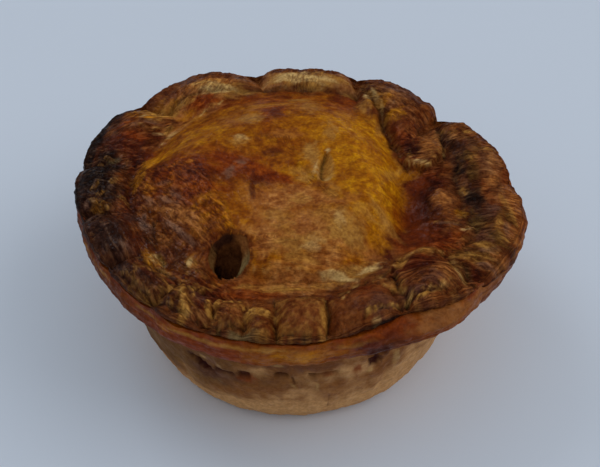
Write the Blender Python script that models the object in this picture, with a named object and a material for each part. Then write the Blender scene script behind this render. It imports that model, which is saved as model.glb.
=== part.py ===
"""A round, hand-raised pork pie, baked in a deep tin and turned out.

The pie is one closed solid. Its pastry case has a small flat base and a wall that leans outwards to a
thick flange. The lid lies on the flange and is pinched into uneven lobes all round. Inside the lobes the
lid rises as a low dome, with one round steam hole and two small slits. Everything is in millimetres in
the functions below and is scaled to metres at the end. +X is to the right, +Y to the back, +Z up, and the
origin is the centre of the base.
"""

import math

import bmesh
import bpy
import numpy as np

MM = 0.001
NAME = "pie"

# Driving heights and radii of the case, in millimetres
WALL_TOP_RADIUS = 43.4
WALL_BULGE = 1.1
BASE_CORNER = 3.6
RIM_HEIGHT = 36.4
LID_THICKNESS = 2.3
LEDGE_DROP = 2.0
FLANGE_THICKNESS = 5.6
DOME_HEIGHT = 6.6
DOME_CENTRE = (-6.0, 4.0)

# Outer radius of the flange and width of its ledge, every 15 degrees from +X towards +Y
FLANGE_REACH = (
    51.0, 49.8, 48.4, 47.0, 49.6, 49.5, 49.0, 49.4, 52.6, 51.6, 52.2, 51.5,
    50.4, 48.7, 47.9, 47.6, 48.1, 47.9, 47.3, 46.6, 47.8, 48.6, 50.3, 51.7,
)
LEDGE_WIDTH = (
    1.0, 0.8, 0.8, 0.8, 0.8, 0.8, 0.8, 0.8, 0.8, 0.8, 0.8, 0.8,
    0.8, 0.9, 1.0, 1.2, 1.2, 1.0, 0.8, 1.8, 4.4, 3.6, 1.6, 1.2,
)
# Values round the pie, every 30 degrees from +X towards +Y
BASE_REACH = (35.6, 35.2, 35.0, 35.0, 35.0, 35.2, 35.4, 35.0, 36.2, 37.2, 36.6, 35.2)
RIM_RISE = (0.6, 0.6, 0.2, 0.2, 0.6, 0.6, 0.4, 0.2, 0.0, 0.0, 0.0, 0.4)
DOME_REACH = (29.5, 30.0, 35.0, 33.5, 30.0, 29.0, 30.5, 33.0, 36.5, 35.5, 36.5, 34.0)
DOME_SHOULDER = (11.0, 14.0, 20.0, 23.0, 22.0, 18.0, 16.0, 18.0, 16.0, 13.0, 12.0, 10.0)

# Pinches in the rim: angle, notch in the outline, crease depth, inner radius, turn of the crease inwards
PINCHES = (
    (38.0, 3.2, 2.0, 31.0, -5.0),
    (3.0, 0.6, 0.4, 43.0, 0.0),
    (-38.0, 0.5, 0.8, 41.0, -4.0),
    (-60.0, 0.3, 1.5, 35.0, 0.0),
    (-82.0, 0.4, 1.9, 36.5, 2.0),
    (-95.0, 0.4, 1.6, 36.5, 0.0),
    (-104.0, 0.3, 1.0, 39.0, 0.0),
    (-113.0, 0.3, 1.0, 38.0, 2.0),
    (-129.0, 0.3, 0.8, 38.0, 6.0),
    (-148.0, 0.4, 0.9, 38.0, 6.0),
    (-169.0, 0.5, 0.9, 38.0, 4.0),
    (171.0, 0.8, 1.0, 38.0, -3.0),
    (140.0, 1.0, 1.3, 38.0, -4.0),
    (103.0, 1.2, 1.5, 38.5, -2.0),
    (71.0, 1.9, 2.0, 35.0, -6.0),
)
LOBE_CROWN = 1.7
PINCH_WIDTH = 1.9

# Hand-made lumps on the lid: x, y, length, width, turn in degrees, height (negative for a hollow)
LUMPS = (
    (23.8, -7.0, 15.0, 4.6, 84.0, -2.6),
    (28.0, 3.0, 4.5, 3.4, 0.0, -1.3),
    (28.5, -10.5, 5.0, 3.0, -25.0, -1.1),
    (31.3, -3.2, 3.8, 3.2, 70.0, 2.1),
    (33.0, -14.4, 5.5, 1.7, -32.0, 1.3),
    (26.5, -22.4, 8.5, 1.9, 28.0, 1.2),
    (29.4, 14.0, 8.5, 4.0, 102.0, 2.0),
    (21.4, 24.0, 10.0, 1.7, 98.0, -1.5),
    (27.0, -30.4, 7.2, 4.6, 16.0, 1.9),
    (14.4, -36.8, 6.2, 4.0, 18.0, 1.5),
    (36.5, -27.0, 6.0, 1.6, 60.0, -0.7),
    (1.0, -41.6, 4.6, 4.8, 0.0, 1.2),
    (-7.6, -43.0, 2.8, 2.6, -8.0, 0.9),
    (-13.4, -40.4, 4.2, 3.2, -14.0, 1.0),
    (-24.0, -35.0, 4.6, 3.6, -40.0, 0.9),
    (-33.5, -27.5, 5.0, 3.8, -48.0, 0.8),
    (-40.0, -14.0, 5.6, 4.2, -70.0, 0.8),
    (-43.5, 2.0, 6.0, 4.4, 88.0, 0.9),
    (-39.0, 20.0, 6.5, 4.8, 50.0, 1.1),
    (-25.0, 37.0, 7.0, 4.4, 24.0, 1.0),
    (3.0, 42.0, 7.5, 3.6, -4.0, 0.5),
    (25.0, 33.5, 7.5, 4.6, -40.0, 1.0),
    (41.5, 8.0, 12.0, 4.6, 84.0, 0.9),
    (42.5, -17.0, 9.0, 4.6, -72.0, 0.9),
    (-22.0, -4.0, 10.0, 6.0, -36.0, 1.2),
    (-30.5, -16.0, 8.0, 2.0, -58.0, -1.1),
    (-2.0, -31.0, 15.0, 1.8, -2.0, -0.8),
    (7.5, -15.0, 7.5, 6.0, 12.0, 0.8),
    (-8.0, 14.0, 12.0, 4.0, 8.0, 0.5),
    (12.0, 12.0, 7.0, 7.0, 0.0, 0.5),
)

# Cuts in the lid: x, y, length, width, turn in degrees, depth
STEAM_HOLE = (-14.1, -25.9, 9.2, 8.8, 80.0, 10.0)
SLITS = (
    (6.4, -2.0, 9.0, 1.9, 82.0, 2.4),
    (-28.6, -24.8, 7.0, 1.7, -64.0, 1.6),
)

# Dents pressed into the wall: angle, height, width, height of the dent, depth
DENTS = (
    (-101.0, 25.0, 4.6, 3.6, 1.0),
    (-86.0, 25.0, 3.6, 3.0, 1.0),
    (-74.0, 25.5, 5.0, 3.4, 1.1),
    (-118.0, 21.0, 7.0, 5.0, 0.8),
    (-62.0, 14.0, 2.4, 12.0, 0.7),
    (-35.0, 18.0, 7.0, 8.0, 0.7),
    (-150.0, 16.0, 8.0, 8.0, 0.6),
    (20.0, 15.0, 9.0, 9.0, 0.7),
    (75.0, 18.0, 8.0, 9.0, 0.7),
    (140.0, 14.0, 9.0, 8.0, 0.6),
)

# Mesh fineness: the middle of the lid is a grid of this many cells a side, with four times as many round it
LID_CELLS = 40
RIM_RINGS = (0.70, 0.74, 0.78, 0.82, 0.86, 0.90, 0.935, 0.965, 0.987, 1.0)
HOLE_SIDES = 24


def smooth(value):
    """Eases 0..1 in and out, and holds outside."""
    t = np.clip(value, 0.0, 1.0)
    return t * t * (3.0 - 2.0 * t)


def around(values, angle):
    """A smooth closed curve through values that are evenly spaced round the circle, at angle in radians."""
    count = len(values)
    place = (angle / (2.0 * math.pi) * count) % count
    step = np.floor(place).astype(int)
    t = place - step
    ring = np.array(values)
    before, here = ring[(step - 1) % count], ring[step % count]
    after, later = ring[(step + 1) % count], ring[(step + 2) % count]
    return here + 0.5 * t * (
        after - before + t * (2 * before - 5 * here + 4 * after - later + t * (3 * (here - after) + later - before))
    )


def turn_between(angle, target):
    """Signed turn in radians from target to angle, from -pi to pi."""
    return (angle - target + math.pi) % (2.0 * math.pi) - math.pi


def flange_radius(angle):
    """Outer radius of the case's flange."""
    reach = around(FLANGE_REACH, angle)
    for degrees, notch, _, _, _ in PINCHES:
        arc = np.abs(turn_between(angle, math.radians(degrees))) * reach
        reach = reach - notch * np.exp(-arc / PINCH_WIDTH)
    return reach


def lid_radius(angle):
    """Outer radius of the lid, which is set back from the flange by the ledge."""
    return flange_radius(angle) - around(LEDGE_WIDTH, angle)


def rim_height(angle):
    """Height of the lid where it lies on the flange, before its lobes and lumps."""
    return RIM_HEIGHT + around(RIM_RISE, angle)


def lump(x, y, feature):
    """Share of a lump's height at x, y: 1 at its middle and falling smoothly away."""
    centre_x, centre_y, length, width, degrees, _ = feature
    turn = math.radians(degrees)
    along = ((x - centre_x) * math.cos(turn) + (y - centre_y) * math.sin(turn)) / length
    across = ((y - centre_y) * math.cos(turn) - (x - centre_x) * math.sin(turn)) / width
    return np.exp(-1.4 * (along**2 + across**2))


def dome_lift(x, y):
    """Height of the filled middle of the lid over its rim."""
    out_x, out_y = x - DOME_CENTRE[0], y - DOME_CENTRE[1]
    angle = np.arctan2(out_y, out_x)
    inside = around(DOME_REACH, angle) - np.hypot(out_x, out_y)
    rise = np.clip(inside / around(DOME_SHOULDER, angle), 0.0, 1.0)
    return DOME_HEIGHT * (0.45 * smooth(rise) + 0.55 * (1.0 - (1.0 - rise) ** 2))


def swing(degrees, share):
    """Angle in radians by which a crease has turned by the time it is this share of the way out."""
    return math.radians(degrees) * 3.0 * np.clip(1.0 - share, 0.0, 0.34)


def lobes(radius, angle):
    """Crowned lobes between the pinches, less the creases at the pinches."""
    order = sorted(PINCHES)
    share_out = radius / lid_radius(angle)
    height = np.zeros_like(radius)
    for here, after in zip(order, order[1:] + order[:1]):
        low = math.radians(here[0]) + swing(here[4], share_out)
        high = math.radians(after[0]) + swing(after[4], share_out)
        span = (high - low) % (2.0 * math.pi)
        share = ((angle - low) % (2.0 * math.pi)) / span
        crown = np.clip(1.0 - np.abs(2.0 * share - 1.0) ** 2.6, 0.0, 1.0)
        inner = 0.5 * (here[3] + after[3])
        height += LOBE_CROWN * np.where(share < 1.0, crown, 0.0) * smooth((radius - inner + 3.0) / 8.0)
        arc = np.abs(turn_between(angle, low)) * radius
        height -= here[2] * np.exp(-arc / PINCH_WIDTH) * smooth((radius - here[3]) / 5.0)
    return height


def lid_height(x, y):
    """Height of the lid's upper face."""
    radius, angle = np.hypot(x, y), np.arctan2(y, x)
    height = rim_height(angle) + dome_lift(x, y) + lobes(radius, angle)
    for feature in LUMPS:
        height += feature[5] * lump(x, y, feature)
    from_edge = lid_radius(angle) - radius
    return height - 1.5 * np.exp(-np.clip(from_edge, 0.0, None) / 2.2)


def rim_profile(angle):
    """Rings from the lid's edge down to the base, each as (radius, height) round the pie."""
    lid, flange = lid_radius(angle), flange_radius(angle)
    top = lid_height(lid * np.cos(angle), lid * np.sin(angle))
    ledge = rim_height(angle) - LEDGE_DROP
    under = ledge - FLANGE_THICKNESS
    width = flange - lid
    rings = [
        (lid + 0.15, np.maximum(top - 0.45 * LID_THICKNESS, ledge + 0.5)),
        (lid - 0.7, ledge - 0.3),
        (lid + 0.4 * width, ledge + 0.1 - 0.1 * width),
        (flange - 0.22 * width - 0.35, ledge + 0.1 - 0.3 * width),
        (flange - 0.05, ledge - 1.0 - 0.35 * width),
        (flange - 0.1, ledge - 3.4 - 0.15 * width),
        (flange - 1.7, under + 0.35),
        (flange - 4.0, under),
    ]
    return rings + wall_rings(angle, under)


def wall_rings(angle, top):
    """Rings down the leaning wall and round the base's corner."""
    base = around(BASE_REACH, angle)
    rings = []
    for share in (0.97, 0.85, 0.70, 0.52, 0.34, 0.16):
        radius = base + (WALL_TOP_RADIUS - base) * share + WALL_BULGE * 4.0 * share * (1.0 - share)
        height = top * share
        for degrees, middle, width, tall, depth in DENTS:
            arc = turn_between(angle, math.radians(degrees)) * radius / (0.5 * width)
            up = (height - middle) / (0.5 * tall)
            radius = radius - depth * np.exp(-0.7 * (arc**2 + up**2))
        rings.append((radius, height))
    for degrees in (40.0, 90.0):
        bend = math.radians(degrees)
        radius = base + 0.6 - BASE_CORNER * (1.0 - math.cos(bend))
        rings.append((radius, BASE_CORNER * (1.0 - math.sin(bend)) * np.ones_like(top)))
    return rings


def to_disc(a, b):
    """Carries a point of the square from -1 to 1 onto the disc, ring for ring: returns its ring share and angle."""
    ring = np.maximum(np.abs(a), np.abs(b))
    safe = np.where(ring > 0, ring, 1.0)
    side = np.abs(a) >= np.abs(b)
    angle = np.where(side, math.pi / 4 * b / safe, math.pi / 2 - math.pi / 4 * a / safe)
    angle = np.where(side & (a < 0), math.pi - math.pi / 4 * b / safe, angle)
    angle = np.where(~side & (b < 0), -math.pi / 2 + math.pi / 4 * a / safe, angle)
    return ring, angle


def column_angles(flat):
    """Moves evenly spaced angles a little, so that a column of vertices runs down each pinch."""
    order = sorted(PINCHES)
    step = 360.0 / (4 * LID_CELLS)
    even = [round(pinch[0] / step) * step for pinch in order]
    true = [pinch[0] for pinch in order]
    even = [even[-1] - 360.0] + even + [even[0] + 360.0]
    true = [true[-1] - 360.0] + true + [true[0] + 360.0]
    turn = [order[-1][4]] + [pinch[4] for pinch in order] + [order[0][4]]
    degrees = np.interp(np.degrees(flat), even, true)
    return np.radians(degrees), np.interp(degrees, true, turn)


def place_on_lid(flat, share):
    """Where the lid's vertex goes that stands at this even angle and this share of the way out."""
    angle, turn = column_angles(flat)
    angle = angle + np.radians(turn) * 3.0 * np.clip(1.0 - share, 0.0, 0.34)
    radius = share * lid_radius(angle)
    x, y = radius * np.cos(angle), radius * np.sin(angle)
    return np.stack([x, y, lid_height(x, y)], axis=1)


def model_lid(bm):
    """Makes the middle of the lid from a square grid and returns its edge vertices with their even angles."""
    bmesh.ops.create_grid(bm, x_segments=LID_CELLS, y_segments=LID_CELLS, size=1.0)
    spot = np.array([vert.co[:] for vert in bm.verts])
    ring, flat = to_disc(spot[:, 0], spot[:, 1])
    flat = (flat + math.pi) % (2.0 * math.pi) - math.pi
    for vert, place in zip(bm.verts, place_on_lid(flat, ring * RIM_RINGS[0])):
        vert.co = place
    return {vert: flat[index] for index, vert in enumerate(bm.verts) if vert.is_boundary}


def extrude_ring(bm, loop, standing):
    """Extrudes the open edge once. Returns the new edge and its vertices with the angles they stand at."""
    made = bmesh.ops.extrude_edge_only(bm, edges=loop)["geom"]
    fresh = {item for item in made if isinstance(item, bmesh.types.BMVert)}
    moved = {}
    for edge in (edge for vert in fresh for edge in vert.link_edges):
        old = edge.other_vert(next(vert for vert in edge.verts if vert in fresh))
        if old in standing:
            moved[next(vert for vert in edge.verts if vert in fresh)] = standing[old]
    edges = [item for item in made if isinstance(item, bmesh.types.BMEdge) and item.is_boundary]
    return edges, moved


def model_sides(bm, standing):
    """Extrudes the lid out to its edge, then down the rim, the wall and the corner, and closes the flat base."""
    loop = [item for item in bm.edges if item.is_boundary]
    for share in RIM_RINGS[1:]:
        loop, standing = extrude_ring(bm, loop, standing)
        flat = np.array(list(standing.values()))
        for vert, place in zip(standing, place_on_lid(flat, np.full_like(flat, share))):
            vert.co = place
    angle = column_angles(np.array(list(standing.values())))[0]
    standing = {vert: index for index, vert in enumerate(standing)}
    for radius, height in rim_profile(angle):
        loop, standing = extrude_ring(bm, loop, standing)
        for vert, index in standing.items():
            turn = angle[index]
            vert.co = (radius[index] * math.cos(turn), radius[index] * math.sin(turn), height[index])
    bmesh.ops.contextual_create(bm, geom=loop)


def oval_cutter(name, feature, sides, taper):
    """An upright oval plug that cuts the steam hole."""
    x, y, length, width, degrees, depth = feature
    top = float(lid_height(np.array([x]), np.array([y]))[0]) + 6.0
    bm = bmesh.new()
    height = depth + 6.0
    bmesh.ops.create_cone(bm, cap_ends=True, segments=sides, radius1=0.5 * taper, radius2=0.5, depth=height)
    for vert in bm.verts:
        vert.co = (vert.co.x * length, vert.co.y * width, vert.co.z)
    return place_cutter(bm, name, (x, y, top - height / 2.0), degrees)


def slit_cutter(name, feature):
    """A lens-shaped blade that cuts a slit."""
    x, y, length, width, degrees, depth = feature
    top = float(lid_height(np.array([x]), np.array([y]))[0])
    bm = bmesh.new()
    bmesh.ops.create_uvsphere(bm, u_segments=14, v_segments=8, radius=1.0)
    for vert in bm.verts:
        vert.co = (vert.co.x * length / 2.0, vert.co.y * width / 2.0, vert.co.z * depth)
    return place_cutter(bm, name, (x, y, top), degrees)


def place_cutter(bm, name, spot, degrees):
    """Makes a cutter object of bm, hidden from the render."""
    mesh = bpy.data.meshes.new(name)
    bm.to_mesh(mesh)
    bm.free()
    cutter = bpy.data.objects.new(name, mesh)
    cutter.location = [value * MM for value in spot]
    cutter.rotation_euler = (0.0, 0.0, math.radians(degrees))
    cutter.scale = (MM, MM, MM)
    cutter.hide_render = True
    cutter.display_type = "WIRE"
    return cutter


def crust_material():
    """Glazed, well browned pastry."""
    material = bpy.data.materials.new("glazed_pastry")
    material.use_nodes = True
    shader = material.node_tree.nodes["Principled BSDF"]
    shader.inputs["Base Color"].default_value = (0.30, 0.115, 0.022, 1.0)
    shader.inputs["Roughness"].default_value = 0.42
    material.diffuse_color = (0.30, 0.115, 0.022, 1.0)
    return material


def model_pie(collection, cutters):
    """Builds the pie's one solid and cuts the holes in its lid."""
    bm = bmesh.new()
    model_sides(bm, model_lid(bm))
    bmesh.ops.recalc_face_normals(bm, faces=bm.faces)
    bmesh.ops.scale(bm, vec=(MM, MM, MM), verts=bm.verts)
    mesh = bpy.data.meshes.new(NAME)
    bm.to_mesh(mesh)
    bm.free()
    mesh.shade_smooth()
    mesh.materials.append(crust_material())
    pie = bpy.data.objects.new(NAME, mesh)
    collection.objects.link(pie)
    tools = [oval_cutter("steam_hole_cutter", STEAM_HOLE, HOLE_SIDES, 0.8)]
    tools += [slit_cutter(f"slit_cutter_{index}", feature) for index, feature in enumerate(SLITS, 1)]
    for tool in tools:
        cutters.objects.link(tool)
        cut = pie.modifiers.new(tool.name, "BOOLEAN")
        cut.operation = "DIFFERENCE"
        cut.object = tool
    return pie


def main():
    """Clears the scene and models the pie in its own collection."""
    for item in list(bpy.data.objects):
        bpy.data.objects.remove(item)
    collection = bpy.data.collections.new("pork_pie")
    cutters = bpy.data.collections.new("cutters")
    bpy.context.scene.collection.children.link(collection)
    bpy.context.scene.collection.children.link(cutters)
    model_pie(collection, cutters)


main()
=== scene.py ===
"""Dresses a whole, hand-raised pork pie on a pale table, in soft daylight.

The pie is two baked pieces: the lid, with its pinched rim, glazed dome, steam hole and slits, and the case,
with its flange, leaning wall and base. Each is a fine sheet made with mesh operators, shaped by named
folds, lumps and wrinkles, and browned by named coats of colour, some of which are painted shade and
painted sheen. Plan positions are millimetres from the centre of the base: +X to the right, +Y to the
back, +Z up. Meshes are made in metres.
"""

from __future__ import annotations

import logging
import math
from dataclasses import dataclass
from enum import Enum
from typing import Any

import bmesh
import bpy
import numpy as np
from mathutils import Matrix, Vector

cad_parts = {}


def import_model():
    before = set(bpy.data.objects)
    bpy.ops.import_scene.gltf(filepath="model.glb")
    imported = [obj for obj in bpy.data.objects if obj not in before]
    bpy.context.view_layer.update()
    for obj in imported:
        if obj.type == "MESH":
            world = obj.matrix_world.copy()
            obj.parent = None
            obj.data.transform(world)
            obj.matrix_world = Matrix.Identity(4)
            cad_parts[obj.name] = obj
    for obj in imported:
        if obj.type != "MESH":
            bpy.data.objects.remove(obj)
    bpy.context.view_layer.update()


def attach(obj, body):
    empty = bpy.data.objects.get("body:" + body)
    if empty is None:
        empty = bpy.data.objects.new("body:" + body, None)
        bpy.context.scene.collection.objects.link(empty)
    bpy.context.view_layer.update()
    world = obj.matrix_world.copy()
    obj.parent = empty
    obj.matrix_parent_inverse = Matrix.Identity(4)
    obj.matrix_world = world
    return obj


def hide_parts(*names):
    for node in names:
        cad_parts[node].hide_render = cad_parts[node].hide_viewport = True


LOG = logging.getLogger("pork_pie")
MM = 0.001
Array = np.ndarray
Row = tuple[float, ...]
Line = tuple[tuple[float, float], ...]
# Tones brushed on in order, each with its patches
Coats = tuple[tuple["Tone", tuple[Row, ...]], ...]


def hex_to_linear(code: str) -> tuple[float, float, float]:
    """Turns an sRGB hex colour into linear red, green and blue.

    Args:
        code: the colour, such as "#A96212".

    Returns:
        The three linear values, 0 to 1.
    """
    parts = (int(code[i : i + 2], 16) / 255.0 for i in (1, 3, 5))
    red, green, blue = (v / 12.92 if v <= 0.04045 else ((v + 0.055) / 1.055) ** 2.4 for v in parts)
    return red, green, blue


class Tone(Enum):
    """The colours that pastry bakes to, from raw to scorched, and the painted sheen and painted shade laid
    over them.
    """

    CREAM = "#D2AE74"
    STRAW = "#B5803A"
    GOLD = "#C07B02"
    AMBER = "#9C5702"
    FAWN = "#AE6C34"
    TAN = "#A06A3C"
    BISCUIT = "#D0A06F"
    LOAF = "#8D582D"
    DRAB = "#73502C"
    NUT = "#763D18"
    RUST = "#863604"
    BROWN = "#623217"
    RUSSET = "#5A210B"
    GARNET = "#3A0F05"
    # Painted sheen: the glaze's pale reflection of the sky
    PAINTED_SHEEN = "#85604F"
    PLUM = "#5E3A30"
    UMBER = "#3C2015"
    # Scorched crust; it is also laid on as painted shade in fold grooves and under the lid's edge
    SCORCH_AND_SHADE = "#24140F"
    OLIVE = "#5E4218"
    DOUGH = "#86704A"

    def linear(self) -> Array:
        """The tone as linear red, green and blue."""
        return np.array(hex_to_linear(self.value))


def smooth(value: Array) -> Array:
    """Eases 0..1 in and out, and holds outside."""
    t = np.clip(value, 0.0, 1.0)
    return t * t * (3.0 - 2.0 * t)


def bell(value: Array) -> Array:
    """Bell curve: 1 at 0, about a third at 1 and -1, and next to nothing past 2."""
    return np.exp(-(value**2))


def curve(before: Array, here: Array, after: Array, later: Array, t: Array) -> Array:
    """Follows a smooth curve between the middle two of four evenly spaced values.

    Args:
        before: the first values.
        here: the values where the step starts.
        after: the values where it ends.
        later: the last values.
        t: how far along the step to read, 0 to 1.

    Returns:
        The curve's values.
    """
    bend = 2 * before - 5 * here + 4 * after - later
    return here + 0.5 * t * (after - before + t * (bend + t * (3 * (here - after) + later - before)))


def around(values: Row, angle: Array) -> Array:
    """Follows a smooth closed curve through values evenly spaced round the pie.

    Args:
        values: the values, from +X towards +Y.
        angle: where to read the curve, in radians.

    Returns:
        The value at each angle.
    """
    count = len(values)
    place = (angle / (2.0 * math.pi) * count) % count
    step = np.floor(place).astype(int)
    t = place - step
    ring = np.array(values)
    before, here = ring[(step - 1) % count], ring[step % count]
    after, later = ring[(step + 1) % count], ring[(step + 2) % count]
    return curve(before, here, after, later, t)


def turn_between(angle: Array, target: float) -> Array:
    """Signed turn in radians from target to angle, from -pi to pi."""
    return (angle - target + math.pi) % (2.0 * math.pi) - math.pi


@dataclass(frozen=True)
class Unevenness:
    """Seeded smooth unevenness, as hand-worked dough has it."""

    seed: int = 7

    def _corner(self, ix: Array, iy: Array, dx: Array, dy: Array, seed: int) -> Array:
        """The pull of one corner of the noise's grid on the points near it.

        Args:
            ix: the corner's first number in the grid.
            iy: its second number.
            dx: how far each point is from the corner in the first coordinate.
            dy: how far in the second.
            seed: which of many patterns.

        Returns:
            The pull on each point.
        """
        mixed = (ix * 73856093) ^ (iy * 19349663) ^ (seed * 83492791)
        mixed = ((mixed ^ (mixed >> 13)) * 1274126177) & 0x7FFFFFFF
        mixed = ((mixed ^ (mixed >> 15)) * 668265263) & 0x7FFFFFFF
        angle = mixed * (2.0 * math.pi / 0x7FFFFFFF)
        return np.cos(angle) * dx + np.sin(angle) * dy

    def at(self, x: Array, y: Array, size: float, seed: int, octaves: int = 3, wrap: float = 0.0) -> Array:
        """Unevenness at each point.

        Args:
            x: first coordinate, in millimetres.
            y: second coordinate, in millimetres.
            size: the size of the largest bumps, in millimetres.
            seed: which of many patterns.
            octaves: how many halvings of the size are added.
            wrap: the length in x after which the pattern repeats, or 0.

        Returns:
            Values of about -1 to 1.
        """
        total = np.zeros(np.broadcast(x, y).shape)
        cells = round(wrap / size) if wrap else 0
        scale_x = cells / wrap if wrap else 1.0 / size
        scale_y, gain = 1.0 / size, 1.0
        for octave in range(octaves):
            px, py = x * scale_x, y * scale_y
            ix, iy = np.floor(px).astype(np.int64), np.floor(py).astype(np.int64)
            dx, dy = px - ix, py - iy
            u, v = dx**3 * (dx * (dx * 6 - 15) + 10), dy**3 * (dy * (dy * 6 - 15) + 10)
            salt = self.seed * 131 + seed * 17 + octave
            ix1 = ix + 1
            if cells:
                ix, ix1 = ix % cells, ix1 % cells
            low = self._corner(ix, iy, dx, dy, salt) * (1 - u) + self._corner(ix1, iy, dx - 1, dy, salt) * u
            high = (
                self._corner(ix, iy + 1, dx, dy - 1, salt) * (1 - u)
                + self._corner(ix1, iy + 1, dx - 1, dy - 1, salt) * u
            )
            total += 1.5 * gain * (low * (1 - v) + high * v)
            scale_x, scale_y, gain, cells = scale_x * 2, scale_y * 2, gain * 0.5, cells * 2
        return total


UNEVEN = Unevenness()


def oval(x: Array, y: Array, row: Row) -> tuple[Array, Array]:
    """Coordinates in an oval's own frame, 1 at its ends.

    Args:
        x: plan coordinates, in millimetres.
        y: plan coordinates, in millimetres.
        row: the oval's x, y, half length, half width and turn in degrees, and anything after them.

    Returns:
        How far along and across the oval each point is.
    """
    turn = math.radians(row[4])
    away_x, away_y = x - row[0], y - row[1]
    along = (away_x * math.cos(turn) + away_y * math.sin(turn)) / row[2]
    across = (away_y * math.cos(turn) - away_x * math.sin(turn)) / row[3]
    return along, across


def swell(x: Array, y: Array, row: Row) -> Array:
    """Share of a lump's height at x, y: 1 at its middle and falling smoothly away."""
    along, across = oval(x, y, row)
    return np.exp(-1.4 * (along**2 + across**2))


def daub(x: Array, y: Array, row: Row, seed: int) -> Array:
    """Cover of a brushed patch, with a ragged and streaky edge.

    Args:
        x: first coordinate, in millimetres.
        y: second coordinate, in millimetres.
        row: the patch's oval, then its strength.
        seed: which of many ragged edges.

    Returns:
        The cover at each point, 0 to the row's strength.
    """
    along, across = oval(x, y, row)
    away = np.hypot(along, across)
    near = away < 2.2
    share = np.zeros(x.shape)
    size = min(4.5, max(1.2, 0.7 * min(row[2], row[3])))
    longer = 1.0 if row[2] < row[3] else min(3.0, row[2] / row[3])
    wider = 1.0 if row[3] < row[2] else min(3.0, row[3] / row[2])
    ragged = UNEVEN.at(along[near] * row[2] / longer, across[near] * row[3] / wider, size, seed, 4)
    share[near] = row[5] * (1.0 - smooth((away[near] + 0.5 * ragged - 0.4) / 0.85))
    return share


def plate(x: Array, y: Array, row: Row, edge: float) -> Array:
    """Cover of a flat, square-cornered patch: 1 on it, and 0 past its worn edge.

    Args:
        x: first coordinate, in millimetres.
        y: second coordinate, in millimetres.
        row: the patch's x, y, half length, half width and turn in degrees, and anything after them.
        edge: how wide its edge is, as a share of its half width.

    Returns:
        The cover at each point, 0 to 1.
    """
    along, across = oval(x, y, row)
    worn = 0.1 * UNEVEN.at(x, y, 1.6, 15, 2)
    return 1.0 - smooth(((along**4 + across**4) ** 0.25 + worn - 1.0 + 0.5 * edge) / edge)


class Paint:
    """Browning, painted shade and painted sheen laid on a mesh's vertices, coat by coat."""

    def __init__(self, count: int, tone: Tone) -> None:
        """Starts with one tone all over.

        Args:
            count: how many vertices there are.
            tone: the first tone.
        """
        self.rgb = np.tile(tone.linear(), (count, 1))

    def cover(self, tone: Tone, share: Array) -> None:
        """Brushes a tone over what is there.

        Args:
            tone: the tone.
            share: its cover at each vertex, 0 to 1.
        """
        share = np.clip(share, 0.0, 1.0)[:, None]
        self.rgb = self.rgb * (1.0 - share) + tone.linear() * share

    def brush(self, x: Array, y: Array, coats: Coats, seed: int) -> None:
        """Brushes coats of patches over what is there, with four ragged edges that take turns.

        Args:
            x: plan coordinates, in millimetres.
            y: plan coordinates, in millimetres.
            coats: the coats, in order. A patch is an oval, then its strength.
            seed: the first of the ragged edges.
        """
        for tone, rows in coats:
            for number, row in enumerate(rows):
                self.cover(tone, daub(x, y, row, seed + number % 4))

    def vary(self, amount: Array) -> None:
        """Bakes lighter and yellower where the amount is above 0, and darker and redder below."""
        self.rgb = self.rgb * np.exp(amount[:, None] * np.array((0.6, 1.0, 1.5)))


def blend(colour: Array, tone: Tone, share: Array) -> Array:
    """Rows of colour with a tone brushed over them, each by its own share from 0 to 1."""
    return colour + (tone.linear() - colour) * share[:, None]


def beside(x: Array, y: Array, line: Line) -> tuple[Array, Array]:
    """Distance of each point from a bent line, and which side it is on.

    Args:
        x: plan coordinates, in millimetres.
        y: plan coordinates, in millimetres.
        line: the line's points, in order.

    Returns:
        The distance in millimetres, and +1 to the line's left or -1 to its right.
    """
    best, side = np.full(x.shape, 1e9), np.ones(x.shape)
    for (ax, ay), (bx, by) in zip(line, line[1:]):
        run_x, run_y = bx - ax, by - ay
        length = math.hypot(run_x, run_y)
        share = np.clip(((x - ax) * run_x + (y - ay) * run_y) / length**2, 0.0, 1.0)
        away = np.hypot(x - ax - share * run_x, y - ay - share * run_y)
        left = np.sign(run_x * (y - ay) - run_y * (x - ax))
        closer = away < best
        best, side = np.where(closer, away, best), np.where(closer, left, side)
    return best, side


@dataclass(frozen=True)
class Fold:
    """A crease or the edge of an overlapping flake: its line, and what it does to height and colour."""

    line: Line
    width: float
    depth: float
    step: float = 0.0
    dark: float = 0.0
    pale: float = 0.0
    reach: float = 2.5

    def height(self, x: Array, y: Array) -> Array:
        """The fold's effect on height: a groove along it, and a step up to its left that dies away.

        Args:
            x: plan coordinates, in millimetres.
            y: plan coordinates, in millimetres.

        Returns:
            What it adds to the height at each point, in millimetres.
        """
        away, side = beside(x, y, self.line)
        groove = -self.depth * bell(away / self.width)
        left = smooth(0.5 + 0.5 * side * away / (0.5 * self.width))
        return groove + self.step * left * bell(away / self.reach)

    def shade(self, x: Array, y: Array, wander: Array) -> tuple[Array, Array]:
        """Cover of the dark groove, which is painted shade in the crease, and of the pale lip beside it.

        Args:
            x: plan coordinates, in millimetres.
            y: plan coordinates, in millimetres.
            wander: how the fold's width comes and goes, about -1 to 1.

        Returns:
            The groove's cover and the lip's, 0 to 1.
        """
        away, side = beside(x, y, self.line)
        away = away + 0.35 * wander * self.width
        groove = self.dark * bell(away / (0.75 * self.width))
        lip = self.pale * bell((side * away - 1.1 * self.width) / (0.7 * self.width))
        return groove, lip


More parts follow.
